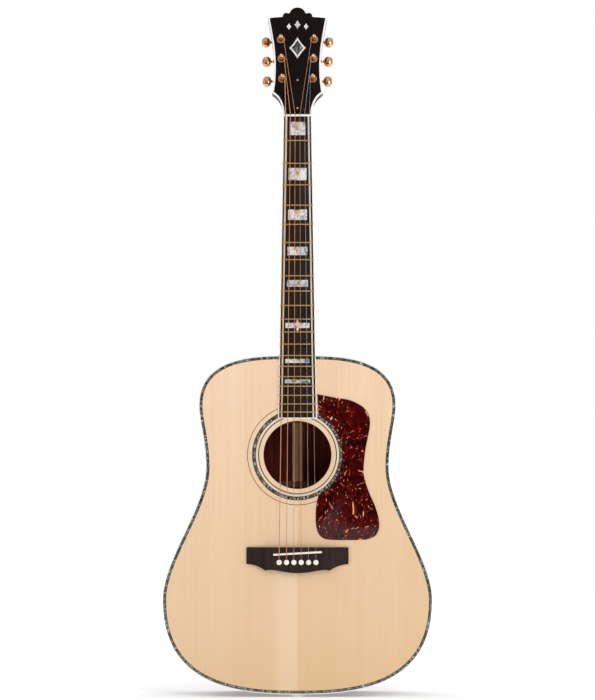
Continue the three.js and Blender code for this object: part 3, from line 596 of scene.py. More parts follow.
def wood(name, slot, tones, pores=0.25, gloss=0.22, bare=False, bent=False, shine=0.5, coat=0.3):
    """A hardwood with its grain along the guitar, or along a bent rib: figure, dark streaks and pores.
    Its tones are light, dark and streak."""
    light, dark, streak = tones
    r = recipe(name, Coat_Weight=0.0 if bare else coat, Coat_Roughness=0.14, IOR=1.5, Specular_IOR_Level=shine)
    where = r.along_grain() if bent else r.place()
    drift = r.noise(r.scaled(where, (14, 14, 4)), detail=2, out="Color")
    swayed = r.moved(where, drift, (0.012, 0.012, 0.0))
    figure = r.noise(r.scaled(swayed, (48, 48, 1.6)), detail=5, roughness=0.6, distortion=0.4)
    veins = r.noise(r.scaled(swayed, (170, 170, 2.6)), detail=5, roughness=0.7, distortion=0.3)
    fine = r.noise(r.scaled(swayed, (620, 620, 9)), detail=3, roughness=0.6)
    pore = r.noise(r.scaled(where, (1500, 1500, 60)), detail=2, roughness=0.7)
    tone = r.ramp(figure, (0.32, dark), (0.5, light), (0.66, dark))
    tone = r.stain(tone, streak, veins, 0.5, 0.66, 0.8)
    tone = r.stain(tone, streak, fine, 0.42, 0.7, 0.5)
    open_pores = r.level(pore, 0.6, 0.72)
    tone = r.blend(r.maths("MULTIPLY", open_pores, pores), tone, streak)
    rough = r.level(figure, 0.3, 0.7, gloss, gloss + 0.12)
    return r.finish(slot, tone, rough, open_pores, 0.35 if bare else 0.08, -0.0002)


def pearl(name, bright, middle, deep):
    """Mother of pearl: cloudy, with soft wavy figure."""
    r = recipe(name, Metallic=0.15, Coat_Weight=0.3, Coat_Roughness=0.06)
    where = r.place()
    bent = r.moved(where, r.noise(where, scale=60, detail=2, out="Color"), (0.02, 0.02, 0.02))
    clouds = r.noise(r.scaled(bent, (95, 95, 70)), detail=5, roughness=0.6, distortion=1.2)
    waves = r.noise(r.scaled(bent, (420, 420, 190)), detail=3, distortion=1.5)
    tone = r.ramp(clouds, (0.34, deep), (0.43, middle), (0.5, bright), (0.58, bright), (0.66, middle))
    tone = r.stain(tone, (255, 240, 230), waves, 0.45, 0.7, 0.3)
    return r.finish("pearl", tone, r.level(waves, 0.3, 0.7, 0.16, 0.32), waves, 0.05)


def abalone(name, laid=False):
    """Dark shell with silver, green and pink swirls, laid in short pieces or in one."""
    r = recipe(name, Metallic=0.1, Coat_Weight=0.3, Coat_Roughness=0.05)
    where = r.along_grain() if laid else r.place()
    if laid:
        inputs = {"W": r.maths("MULTIPLY", r.split(where, 0), 1 / SHELL_LENGTH)}
        settings = {"voronoi_dimensions": "1D"}
    else:
        inputs, settings = {"Vector": where, "Scale": 90}, {}
    piece = r.cells(inputs, **settings)["Color"]
    joint = r.cells(inputs, feature="DISTANCE_TO_EDGE", **settings)["Distance"]
    moved = r.moved(where, piece, (3, 3, 3))
    swirl = r.noise(moved, scale=190, detail=4, roughness=0.6, distortion=2.0)
    hue = r.noise(moved, scale=120, detail=2, distortion=1.0)
    tone = r.ramp(hue, (0.36, (84, 98, 88)), (0.46, (98, 80, 84)), (0.54, (90, 86, 66)), (0.64, (70, 88, 98)))
    tone = r.stain(tone, (232, 236, 224), swirl, 0.52, 0.58, 0.95)
    tone = r.stain(tone, (22, 22, 19), swirl, 0.42, 0.49, 0, 0.95)
    tone = r.stain(tone, (42, 42, 36), r.split(piece, 1), 0.1, 0.8, 0.85)
    tone = r.stain(tone, (16, 15, 13), joint, 0.0, 0.04, 0, 0.8)
    return r.finish("abalone", tone, r.level(swirl, 0.3, 0.7, 0.14, 0.3))


def moulded(name, slot, colour, other, gloss, coat=0.0, shine=0.5):
    """A plain smooth plastic, bone or lacquer, with a faint cloud in its colour and in its gloss."""
    r = recipe(name, Coat_Weight=coat, Coat_Roughness=0.04, Specular_IOR_Level=shine)
    cloud = r.noise(r.place((60, 60, 25)), detail=4, roughness=0.6)
    fine = r.noise(r.place((900, 900, 300)), detail=2)
    tone = r.stain(colour, other, cloud, 0.35, 0.7)
    return r.finish(slot, tone, r.level(fine, 0.3, 0.7, gloss, gloss + 0.08), fine, 0.03)


def tortoiseshell():
    """Dark red celluloid with black clouds and drifting amber and pink flecks."""
    r = recipe("tortoiseshell", Roughness=0.12, Specular_IOR_Level=0.2)
    where = r.place()
    bent = r.moved(where, r.noise(where, scale=17, detail=2, out="Color"), (0.08, 0.0, 0.08))
    clouds = r.noise(r.scaled(bent, (76, 0, 50)), detail=5, roughness=0.65, distortion=1.0)
    tone = r.ramp(clouds, (0.34, (16, 1, 3)), (0.46, (48, 2, 3)), (0.56, (74, 4, 4)), (0.66, (40, 2, 3)))
    threads = r.noise(r.scaled(bent, (330, 0, 130)), detail=3, roughness=0.6, distortion=0.8)
    tone = r.stain(tone, (136, 26, 18), threads, 0.58, 0.72, 0.75)
    for turn, scale, rare, reach, colour in FLECKS:
        flecks = r.cells({"Vector": r.scaled(r.scaled(bent, (1, 1, 1), (0, turn, 0)), scale), "Scale": 1})
        size = r.level(r.split(flecks["Color"], 0), rare, 1, 0, reach)
        tone = r.stain(tone, colour, r.maths("SUBTRACT", size, flecks["Distance"]), 0.0, 0.07)
    return r.finish("tortoiseshell", tone)


def metal(name, slot, colour, worn, gloss, rim=(1, 1, 1, 1)):
    """Polished plated metal, a little darker and duller in cloudy patches, and at its rim."""
    r = recipe(name, Metallic=1.0, Specular_Tint=rim)
    cloud = r.noise(r.place((160, 160, 160)), detail=4, roughness=0.6)
    fine = r.noise(r.place((1400, 1400, 500)), detail=2)
    tone = r.stain(colour, worn, cloud, 0.4, 0.75)
    return r.finish(slot, tone, r.level(fine, 0.3, 0.7, gloss, gloss + 0.1), fine, 0.02)


def wound(string):
    """Wire wound on a core: fine rings across the string, with painted shade darkening the grooves between them.
    """
    r = recipe(f"wound_wire_{string}", Metallic=1.0, Roughness=0.45)
    pitch = 0.1 + 0.05 * string
    inputs = {"Vector": r.place(), "Scale": 2 * math.pi / (WAVES_PER_SCALE * pitch * MM)}
    turns = r.add("TexWave", inputs, "Fac", wave_type="BANDS", bands_direction="Z", wave_profile="SIN")
    # Painted shade: the colour darkens in the grooves between the turns, where the relief is low.
    tone = r.blend(turns, (178, 124, 90), (236, 176, 130))
    return r.finish("wound_string", tone, relief=turns, strength=0.3, distance=0.00005)


def plain_floor():
    """A white floor that glows, faintly near the guitar and more strongly further off, where it meets the white
    behind it: painted light.
    """
    r = recipe("floor", Roughness=0.9)
    where = r.place()
    away = r.add("VectorMath", {0: where}, "Value", operation="LENGTH")
    tone = r.blend(r.noise(where, scale=3, detail=2), (0.9, 0.9, 0.9, 1), (0.93, 0.93, 0.93, 1))
    # Painted light: the floor glows, from 0.3 near the middle to 0.95 further off.
    r.fill(r.shader, {"Emission Color": WHITE, "Emission Strength": r.level(away, 0.9, 2.6, 0.3, 0.95)})
    return r.finish("floor", tone)[0]


SPRUCE = spruce("spruce", "spruce_top", (248, 219, 188), (240, 206, 171))
BARE_SPRUCE = spruce("bare_spruce", "brace_spruce", (190, 134, 94), (168, 112, 76), bare=True)
ROSEWOOD_TONES = (92, 42, 26), (54, 23, 16), (20, 9, 8)
ROSEWOOD = wood("rosewood", "rosewood", ROSEWOOD_TONES)
RIB_ROSEWOOD = wood("rib_rosewood", "rosewood", ROSEWOOD_TONES, bent=True)
BARE_ROSEWOOD = wood(
    "bare_rosewood", "rosewood", ((132, 46, 34), (96, 30, 23), (50, 16, 12)), gloss=0.6, bare=True, shine=0.15)
MAHOGANY = wood(
    "mahogany", "neck_mahogany", ((70, 32, 20), (50, 22, 14), (28, 12, 8)), pores=0.4, shine=0.25, coat=0.12)
BARE_MAHOGANY = wood(
    "bare_mahogany", "block_wood", ((130, 80, 50), (104, 60, 38), (70, 38, 24)), gloss=0.6, bare=True)
MAPLE = wood("maple", "maple", ((206, 168, 120), (188, 148, 102), (160, 118, 78)), pores=0.1, gloss=0.6, bare=True)
EBONY = wood("ebony", "ebony", ((42, 29, 22), (30, 20, 15), (13, 8, 6)), gloss=0.5, bare=True, shine=0.12)
BRIDGE_EBONY = wood(
    "bridge_ebony", "ebony", ((50, 33, 25), (38, 24, 18), (18, 11, 8)), gloss=0.4, bare=True, shine=0.18)
PEARLS = {
    "white": pearl("pearl", (252, 250, 248), (214, 210, 212), (160, 162, 170)),
    "silver": pearl("silver_pearl", (238, 234, 232), (176, 174, 180), (104, 108, 118)),
    "blue": pearl("blue_pearl", (206, 208, 214), (128, 138, 158), (62, 72, 92)),
    "dark": pearl("dark_pearl", (190, 204, 200), (110, 124, 124), (44, 54, 56)),
    "warm": pearl("warm_pearl", (232, 208, 182), (150, 126, 106), (46, 40, 34)),
}
ABALONE = abalone("abalone")
LAID_ABALONE = abalone("laid_abalone", laid=True)
BINDING = moulded("binding", "binding", (253, 251, 246), (248, 244, 234), 0.25, coat=0.3)
CREAM = moulded("cream_line", "binding", (230, 219, 200), (216, 203, 180), 0.3, coat=0.2)
BONE = moulded("bone", "bone", (252, 249, 242), (240, 234, 220), 0.3, coat=0.2)
BLACK_LINE = moulded("black_line", "black_line", (26, 23, 20), (18, 16, 14), 0.4, shine=0.25)
BLACK = moulded("black_lacquer", "black_lacquer", (17, 8, 6), (22, 10, 8), 0.12, shine=0.12)
TORTOISE = tortoiseshell()
GOLD = metal("gold", "gold_plate", (236, 188, 144), (196, 142, 100), 0.14, (0.2, 0.1, 0.05, 1))
FRET_METAL = metal("fret_metal", "fret_wire", (200, 164, 116), (170, 134, 92), 0.3)
STEEL = metal("steel", "gold_plate", (150, 150, 152), (112, 110, 110), 0.3)
PLAIN_WIRE = metal("plain_wire", "plain_string", (214, 210, 206), (190, 186, 182), 0.35)
WIRES = {1: PLAIN_WIRE, 2: PLAIN_WIRE, 3: wound(3), 4: wound(4), 5: wound(5), 6: wound(6)}

# ---------------------------------------------------------------- the body


def body_ring(name, profile, look, on_back=False, stands_for=()):
    """A ring that follows the body's outline. Its section is a list of (inset, z) points, and on the
    back z is measured in from the arched face."""
    rows, grain = [], []
    for distance, z in profile:
        loop = inset(BODY, distance)
        rows.append([(x, y, back_z(x, y) + z if on_back else z) for x, y in loop])
        grain += [(length, distance, x) for length, (x, y) in zip(AROUND_BODY, loop)]
    make(name, loft(rows, ring=True), look, stands_for=stands_for, grain=grain)


def rounded_strip(inner, depth, radius, sign):
    """The section of a binding: a strip with its outer corner rounded, from the face inwards."""
    corner = [(by, sign * up) for by, up in quarter_round(radius)]
    return [(inner, 0), *corner, (0, sign * depth), (inner, sign * depth)]


def between(outer_loop, inner_loop, shares, z_of):
    """Rows of points between two loops, at shares of the way from the inner to the outer."""
    rows = []
    for share in shares:
        flat = [(mix(a[0], b[0], share), mix(a[1], b[1], share)) for a, b in zip(inner_loop, outer_loop)]
        rows.append([(x, y, z_of(x, y)) for x, y in flat])
    return rows


EDGE = {"binding": 1.3, "line": 0.6, "shell": 3.2}
TOP_INSET = EDGE["binding"] + 2 * EDGE["line"] + EDGE["shell"]
BACK_INSET = 4.4
# The lines beside the back's binding, from and to an inset, and the stripes of its seam, from and to an x
BACK_LINES = ((2.5, 3.1, BLACK_LINE), (3.1, 3.8, CREAM), (3.8, BACK_INSET, BLACK_LINE))
BACK_STRIPES = (
    (-3.6, -2.6, CREAM), (-2.6, -1.8, BLACK_LINE), (-1.8, 1.8, ABALONE), (1.8, 2.6, BLACK_LINE), (2.6, 3.6, CREAM),
)
# Each ring's inner and outer radius
ROSETTE = (
    ("inner_cream_1", 56.5, 57.4, CREAM), ("inner_black", 57.4, 58.9, BLACK_LINE),
    ("inner_cream_2", 58.9, 59.8, CREAM), ("edge_inner", 62.3, 63.2, BLACK_LINE),
    ("shell", 63.2, 67.0, LAID_ABALONE), ("edge_outer", 67.0, 67.9, BLACK_LINE),
    ("outer_line", 74.2, 75.1, BLACK_LINE),
)


def soundboard():
    loop, rim, shares = inset(BODY, TOP_INSET), 0.5, [0, 0.12, 0.3, 0.55, 0.8, 1]
    hole, middle, lip = [onto_circle(loop, HOLE_RADIUS + by, HOLE_Y) for by in (0, rim * 0.3, rim)]
    top = between(loop, lip, shares, lambda x, y: 0)
    under = between(loop, hole, shares, lambda x, y: -TOP_THICKNESS)
    edge = [[(x, y, -rim * 0.3) for x, y in middle], [(x, y, -rim) for x, y in hole]]
    make("top", loft([*reversed(top), *edge, *under], ring=True), SPRUCE, stands_for=["soundboard"])


def back():
    loop = inset(BODY, BACK_INSET)
    centre = [(0, 240)] * len(loop)
    shares = [0, 0.2, 0.4, 0.6, 0.8, 1]
    outside = between(loop, centre, shares, back_z)
    inside = between(loop, centre, shares, lambda x, y: back_z(x, y) + BACK_THICKNESS)
    shape = loft([*outside, *reversed(inside)], caps=False)
    piece = make("back", shape, ROSEWOOD, stands_for=["back_plate"])
    piece.data.materials.append(BARE_ROSEWOOD[0])
    for face in piece.data.polygons:
        face.material_index = 1 if face.normal.y < -0.9 else 0
    for i, (outer, inner, look) in enumerate(BACK_LINES):
        body_ring(f"back_purfling_{i + 1}", oblong(inner, outer, 0, 1.5), look, on_back=True)
    body_ring("back_edge_binding", rounded_strip(2.5, 6, 1.2, 1), BINDING, True, ["back_binding"])
    for i, (west, east, look) in enumerate(BACK_STRIPES):
        ys = [mix(BACK_INSET, BODY_LENGTH - BACK_INSET, j / 24) for j in range(25)]
        grid = [[(x, y) for x in (west, east)] for y in ys]
        stripe = layer(grid, lambda x, y: back_z(x, y) + 1, lambda x, y: back_z(x, y) - 0.06)
        make(f"back_stripe_{i + 1}", stripe, look)


def ribs():
    """The two bent sides, with a dark and a light line under each binding."""
    half = [(max(x, 0.06), y) for x, y in HALF_BODY]
    inner = [(max(x, 0.06), y) for x, y in inset(half, RIB, closed=False)]
    for name, side in SIDES.items():
        rows, grain = [], []
        for (x0, y0), (x1, y1), length in zip(half, inner, AROUND_BODY):
            heights = [mix(-RIB_EDGE, back_z(x0, y0) + RIB_EDGE, j / 6) for j in range(7)]
            rows.append([(side * x0, y0, z) for z in heights] + [(side * x1, y1, z) for z in reversed(heights)])
            grain += [(z, 0, length) for z in heights] + [(z, RIB, length) for z in reversed(heights)]
        make(f"rib_{name}", loft(rows), RIB_ROSEWOOD, stands_for=[f"side_{name}"], grain=grain)
    for name, near, look in (("black", RIB_EDGE, BLACK_LINE), ("cream", RIB_EDGE + 0.6, CREAM)):
        for place, sign in (("top", -1), ("back", 1)):
            profile = oblong(0.4, -0.04, sign * near, sign * (near + 0.6))
            body_ring(f"side_line_{place}_{name}", profile, look, on_back=place == "back")


def tail_strip():
    """The inlaid strip that covers the joint of the two ribs at the tail."""
    for name, reach, proud, look in (("lines", 9, 0.08, BLACK_LINE), ("strip", 8, 0.14, CREAM)):
        xs = [reach * (2 * i / 6 - 1) for i in range(7)]
        below, above = [
            [[(x, along_tail(x) + by, z) for x in xs] for z in (-7.4, back_z(0, 0) + 7.4)] for by in (1, -proud)
        ]
        make(f"tail_{name}", patch(below, above), look)


def along_tail(x):
    """The body's outline at the tail: y where x is near the centre line."""
    return along(HALF_BODY[:OUTLINE_STEPS], abs(x))


def edges():
    """The binding and the shell that frame the soundboard."""
    line, shell, white = EDGE["line"], EDGE["shell"], EDGE["binding"]
    body_ring("top_edge_binding", rounded_strip(white, 6, 0.9, -1), BINDING, stands_for=["top_binding"])
    for name, start, width, look in (
        ("line_outer", white, line, BLACK_LINE),
        ("shell", white + line, shell, LAID_ABALONE),
        ("line_inner", white + line + shell, line, BLACK_LINE),
    ):
        end = start + width
        body_ring(f"top_{name}", [(start, 0), (start, -1.8), (end, -1.8), (end, 0)], look)


def rosette():
    """Rings let into the soundboard round the soundhole."""
    steps = 144
    for name, inner, outer, look in ROSETTE:
        rows, grain = [], []
        for radius, z in oblong(inner, outer, -0.6, 0.04):
            ring = circle(radius, steps, (0, HOLE_Y))
            rows.append([(x, y, z) for x, y in ring])
            grain += [(abs(i / steps - 0.5) * 2 * math.pi * inner, radius, x) for i, (x, y) in enumerate(ring)]
        make(f"rosette_{name}", loft(rows, ring=True), look, grain=grain)


# ---------------------------------------------------------------- on the soundboard


def pickguard():
    start = math.atan2(296.4 - HOLE_Y, 31.4)
    outline = (
        arc((0, HOLE_Y), 67.8, start, -start, 28)
        + [(29.8, 447.2)]
        + spline([
            (29.8, 447.2), (52, 442.9), (81, 437.3), (102, 424), (108.4, 403), (101.5, 364), (98.8, 330),
            (104.8, 306), (116.9, 277), (122.2, 252.6), (116.8, 236.6), (102, 230.1),
        ], 6)[1:]
        + bezier(((102, 230.1), (76, 228.6), (47.2, 230)), 6)
        + bezier(((47.2, 230), (31, 231.5), (27, 243), (27, 266)), 10)
        + bezier(((27, 266), (27.5, 283), (31.4, 296.4)), 6)
    )
    make("pickguard_plate", plate(outline[::-1], 0.1, 1.2, round_high=0.5), TORTOISE, stands_for=["pickguard"])


def bridge():
    """The bridge: a flat middle, scooped wings and a belly towards the tail."""
    belly = (
        bezier(((0, 180.5), (22, 180.5), (36, 187.5), (48.5, 184.4)), 14)
        + bezier(((48.5, 184.4), (60, 193), (BRIDGE_HALF, 194.1)), 10)
        + [(BRIDGE_HALF, 194.1)]
    )
    thickness, tip = 9, 3.4
    wing = [0.03, 0.07, 0.13, 0.2, 0.28, 0.38, 0.5, 0.64, 0.8, 1]
    stations = [(-1, t) for t in reversed(wing)] + [(-1 + 0.1 * i, 0) for i in range(21)] + [(1, t) for t in wing]
    above = []
    for j in range(13):
        up = j / 12
        shoulder = mix(47.5, 40.8, up**0.6)
        row = []
        for side, t in stations:
            x = side * (shoulder + t * (BRIDGE_HALF - shoulder))
            y = mix(along(belly, abs(x)), BRIDGE_TOP, up)
            row.append((x, y, tip + (thickness - tip) * (1 - t) ** 2.3))
        above.append(row)
    below = [[(x, y, 0.05) for x, y, _ in row] for row in above]
    soften(make("bridge_block", patch(below, above), BRIDGE_EBONY, stands_for=["bridge"]), 0.7)


def soften(piece, width, angle=45):
    """Rounds a piece's sharp edges."""
    bevel = piece.modifiers.new("soften", "BEVEL")
    bevel.width, bevel.segments, bevel.limit_method = width * MM, 3, "ANGLE"
    bevel.angle_limit = math.radians(angle)


def saddle():
    """A bone strip with a rounded top and ends, slanted across the bridge."""
    (low, high), half, curve = extent("saddle")["z"], 1.5, 1.1
    section = [(-half, low), (half, low), *arc((0, high - curve), half, 0, math.pi, 10, curve)]
    rows = []
    for x, share in ((-36.35, 0.55), (-36.1, 0.85), (-35.6, 1), (0, 1), (35.6, 1), (36.1, 0.85), (36.35, 0.55)):
        row = []
        for y, z in section:
            middle_y = SADDLE_Y + SADDLE_SLOPE * x
            row.append((
                x - SADDLE_SLOPE * y * share, middle_y + y * share, high - (high - z) / share if z > low else z
            ))
        rows.append(row)
    make("saddle_bone", loft(rows), BONE, stands_for=["saddle"])


def pins():
    profile = [
        (0, -14), (1.1, -14), (1.5, -13.4), (2.35, 9.05), (3.0, 9.1), (3.7, 9.3), (4.0, 9.8), (4.0, 10.4),
        (3.8, 11.1), (3.3, 11.7), (2.4, 12.15), (1.2, 12.35), (0, 12.4),
    ]
    dot = [(0, 11.9), (1.35, 11.9), (1.35, 12.38), (1.0, 12.47), (0, 12.5)]
    for n in STRINGS:
        place = lambda a, b, c: (a + pin_x(n), b + PIN_Y, c)
        make(f"pin_{n}", placed(turned(profile, 24), place), BONE, stands_for=[f"bridge_pin_{n}"])
        make(f"pin_{n}_dot", placed(turned(dot, 16), place), PEARLS["white"])


def tail_pin():
    head_z, reach = -60, 3.8
    profile = [
        (0, 18), (4, 18), (4.05, -0.2), (7, -0.35), (7, -2.2), (6.6, -3.1), (5.4, -3.6), (2, -reach), (0, -reach),
    ]
    dot = [(0, -3.0), (1.8, -3.0), (1.8, -reach - 0.02), (0, -reach - 0.1)]
    place = lambda a, b, c: (a, c, head_z + b)
    make("strap_pin", placed(turned(profile, 28), place), BONE, stands_for=["end_pin"])
    make("strap_pin_dot", placed(turned(dot, 16), place), BLACK_LINE)


# ---------------------------------------------------------------- the neck

NECK_DEPTH, HEEL_NECK_DEPTH = 14, 17
HEEL_DEPTH, CAP = 98, 2.5
SECTION_STEPS = 16
HEEL_SIDE_END = 88
HEAD_STATIONS = (
    0.5, 3, 6, 9, 12, 15, 18, 21, 24, 26.5, 28.8, 30.8, 32.4, 33.6, 34.4, 36, 40, 48, 60, 80, 98, 116, 134, 150,
)
HEEL_SIDE = bezier(
    ((20, -HEEL_DEPTH + CAP), (21.5, -56), (33, -HEEL_NECK_DEPTH), (HEEL_SIDE_END, -HEEL_NECK_DEPTH)), 24)
HEEL_FRONT = bezier(((12.5, -HEEL_DEPTH), (14, -45), (29, -30), (30, 0)), 24) + [(30, 0)]


def rounded_section(half, depth, squareness):
    """Half of a neck section: an ellipse that grows square as squareness grows from 2."""
    turn = [math.pi / 2 * i / SECTION_STEPS for i in range(SECTION_STEPS + 1)]
    power = 2 / squareness
    return [(half * abs(math.cos(a)) ** power if a < 1.57 else 0, -depth * math.sin(a) ** power) for a in turn]


def heel_section(y, depth):
    """Half of a section through the heel, a distance y from the body: near the body its plan is an
    ellipse at each height, and further out the section itself is an ellipse, as the neck's is."""
    top = board_half(BODY_LENGTH + y) - GLUE

    def inside(x, z):
        if z < CAP - HEEL_DEPTH:
            return False
        broad = min(top, along(HEEL_FRONT, z, 1, 0))
        return math.hypot(x / top, z / HEEL_NECK_DEPTH) < 1 or math.hypot(x / broad, y / heel_reach(z)) < 1

    points = []
    for i in range(SECTION_STEPS + 1):
        angle = math.pi / 2 * i / SECTION_STEPS
        x, z = top * math.cos(angle), -depth * math.sin(angle)
        low, high = 0, 1.6
        for _ in range(24):
            middle = (low + high) / 2
            if inside(x * middle, z * middle):
                low = middle
            else:
                high = middle
        share = mix(low, 1, smooth((y - 8) / 52))
        points.append((x * share, z * share))
    return points


def full_ring(half, place):
    return [place(x, z) for x, z in half] + [place(-x, z) for x, z in reversed(half)]


def heel_reach(z):
    """How far the heel reaches from the body at a height."""
    if z < -HEEL_NECK_DEPTH:
        return along(HEEL_SIDE, z, 1, 0)
    return HEEL_SIDE_END + 5 * (z + HEEL_NECK_DEPTH)


def neck():
    """Heel, neck and headstock in one piece of wood, from sections across it."""
    rows = []
    spans = [(20 * math.sin(math.pi / 2 * i / 8), HEEL_DEPTH - CAP) for i in range(9)]
    spans += [(y, -z) for y, z in HEEL_SIDE[1:]] + [(HEEL_SIDE_END, HEEL_NECK_DEPTH)]
    for y, depth in spans:
        rows.append(full_ring(heel_section(y, depth), lambda x, z: (x, BODY_LENGTH + GLUE + y, z)))
    straight_end = NUT_Y - 16
    start = BODY_LENGTH + HEEL_SIDE_END + 8
    for i in range(10):
        y = mix(start, straight_end, i / 9)
        half = rounded_section(board_half(y) - GLUE, mix(HEEL_NECK_DEPTH, NECK_DEPTH, i / 9), 2)
        rows.append(full_ring(half, lambda x, z: (x, y, z)))
    lip = HEAD_FACE_Z - HEAD_LIP * math.cos(HEAD_TILT)
    for i in range(1, 8):
        share = i / 8
        tilt, y = HEAD_TILT * smooth(share), mix(straight_end, HEAD_START, share)
        half = rounded_section(board_half(y) - GLUE, NECK_DEPTH + 0.3 * share, 2 + 0.35 * share)
        up = lip * max(0, share - 0.6) / 0.4
        rows.append(full_ring(half, lambda x, z: (x, y + z * math.sin(tilt), up + z * math.cos(tilt))))
    on_face = lambda x, z, s: head(x, s, z - HEAD_LIP)
    for s in HEAD_STATIONS:
        squareness = mix(2.35, 16, smooth(s / 38) ** 1.6)
        half = rounded_section(along(HEAD_SIDE, s, 1, 0), -HEAD_BACK - HEAD_LIP, squareness)
        rows.append(full_ring(half, lambda x, z: on_face(x, z, s)))
    points, faces = loft(rows, caps=False)
    faces.append(tuple(range(len(rows[0]))))
    crest(points, faces, half, on_face, HEAD_STATIONS[-1])
    piece = make("neck_wood", (points, faces), MAHOGANY, stands_for=["neck"], sharp=40)
    carve(piece, box(-3.2, 3.2, BODY_LENGTH + 6, HEAD_START + 5, -8.4, 5))
    carve(piece, placed(box(-6, 6, 2, 40, -12, 5), head))


def crest(points, faces, half, on_face, last_s):
    """Closes the top of the headstock: its rim keeps the last section's rounded edge round the crest."""
    count = 2 * len(half)
    base = len(points) - count
    rim = [(x, s) for x, s in HEAD_SIDE if s > last_s + 0.5] + CREST[1:]
    rim = rim + [(-x, s) for x, s in reversed(rim[:-1])]
    anchor = along(HEAD_SIDE, last_s, 1, 0)
    path = [(anchor, last_s), *rim, (-anchor, last_s)]
    rounded = [k for k, (x, z) in enumerate(half) if anchor - x < 4.2]
    columns = [[base + k for k in rounded]]
    for (x, s), (nx, ns) in list(zip(path, normals(path, closed=False)))[1:-1]:
        columns.append([*range(len(points), len(points) + len(rounded))])
        for by, z in [(anchor - half[k][0], half[k][1]) for k in rounded]:
            points.append(on_face(x + nx * by, z, s + ns * by))
    columns.append([base + count - 1 - k for k in rounded])
    for left, right in zip(columns, columns[1:]):
        for k in range(len(rounded) - 1):
            faces.append((left[k], left[k + 1], right[k + 1], right[k]))
    faces.append(tuple(column[0] for column in columns))
    across = [base + k for k in range(rounded[-1] + 1, count - 1 - rounded[-1])]
    faces.append(tuple([column[-1] for column in columns] + across[::-1]))


def heel_cap():
    start, low, seam = BODY_LENGTH + GLUE, -HEEL_DEPTH, CAP - HEEL_DEPTH - 0.6
    outline = arc((0, start), 12.7, 0, math.pi, 28, 20.3)
    line = [(x * 0.985, start + (y - BODY_LENGTH) * 0.985) for x, y in outline]
    make("heel_cap", plate(outline, low, seam, round_low=0.5), BINDING)
    make("heel_cap_line", plate(line, seam, low + CAP + 0.02), BLACK_LINE)


SIDE_STRIP = 1.4


def on_board(name, ys, x_of, columns, look, proud=0.0, low=lambda x, y: BOARD_UNDER, **more):
    """A strip or sheet that ends in the fingerboard's face. x_of gives x at a y, for a share across."""
    grid = [[(x_of(y, i / (columns - 1)), y) for i in range(columns)] for y in ys]
    return make(name, layer(grid, low, lambda x, y: board_z(x) + proud), look, **more)


def on_crown(name, corners, proud, look):
    """A flat-sided inlay let into the crowned board: corners are its outline, from its lower left."""
    x_middle, y_middle = [sum(values) / len(corners) for values in zip(*corners)]
    rows = [
        [(mix(x_middle, x, share), mix(y_middle, y, share)) for x, y in subdivided(corners, 6)]
        for share in (1, 0.8, 0.6, 0.4, 0.2, 0.02)
    ]
    under = [(x, y, board_z(x) - 1.2) for x, y in rows[0]]
    make(name, loft([under] + [[(x, y, board_z(x) + proud) for x, y in row] for row in rows]), look)


def fingerboard():
    start, top_end = BOARD_END + SIDE_STRIP, NUT_Y - 0.02
    inner = lambda y, t: mix(-1, 1, t) * (board_half(y) - SIDE_STRIP)
    on_board("fretboard", (start, top_end), inner, 17, EBONY, stands_for=["fingerboard"])
    for name, side in SIDES.items():
        strip = lambda y, t: side * (board_half(y) - SIDE_STRIP * (1 - t))
        soften(on_board(f"board_binding_{name}", (BOARD_END, top_end), strip, 4, BINDING), 0.3, 60)
        stripe = lambda y, t: side * (board_half(y) - mix(6.1, 4.1, t))
        low = lambda x, y: board_z(x) - 1.5
        on_board(f"board_stripe_{name}", (start, top_end), stripe, 3, CREAM, 0.03, low)
    on_board("board_binding_end", (BOARD_END, start), inner, 17, BINDING)


def frets():
    """Twenty domed wires, bent to the board's crown, with slanted ends."""
    half, foot = FRET_WIDTH / 2, -0.4
    stations = [-1, -0.985, -0.955] + [-0.9 + 0.15 * i for i in range(13)] + [0.955, 0.985, 1]
    for fret in range(1, 21):
        y, reach = fret_y(fret), board_half(fret_y(fret)) - 0.15
        rows = []
        for x in [share * reach for share in stations]:
            height = FRET_HEIGHT * min(1, (reach - abs(x)) / 0.9 + 0.25)
            dome = arc((y, 0), -half, 0, math.pi, 8, height)
            rows.append([(x, a, board_z(x) + up) for a, up in [*dome, (y + half, foot), (y - half, foot)]])
        make(f"fret_{fret:02d}", loft(rows), FRET_METAL)


# Each inlay's fret, width and height, and the shells of its left and right halves
INLAYS = (
    (1, 23.6, 20.0, "white", "silver"), (3, 26.9, 18.6, "silver", "white"), (5, 28.2, 15.6, "white", "white"),
    (7, 30.0, 12.5, "white", "blue"), (9, 31.6, 9.9, "blue", "white"), (12, 35.8, 7.6, "white", "silver"),
    (15, 36.3, 6.0, "white", "blue"), (17, 37.6, 5.8, "dark", "dark"),
)


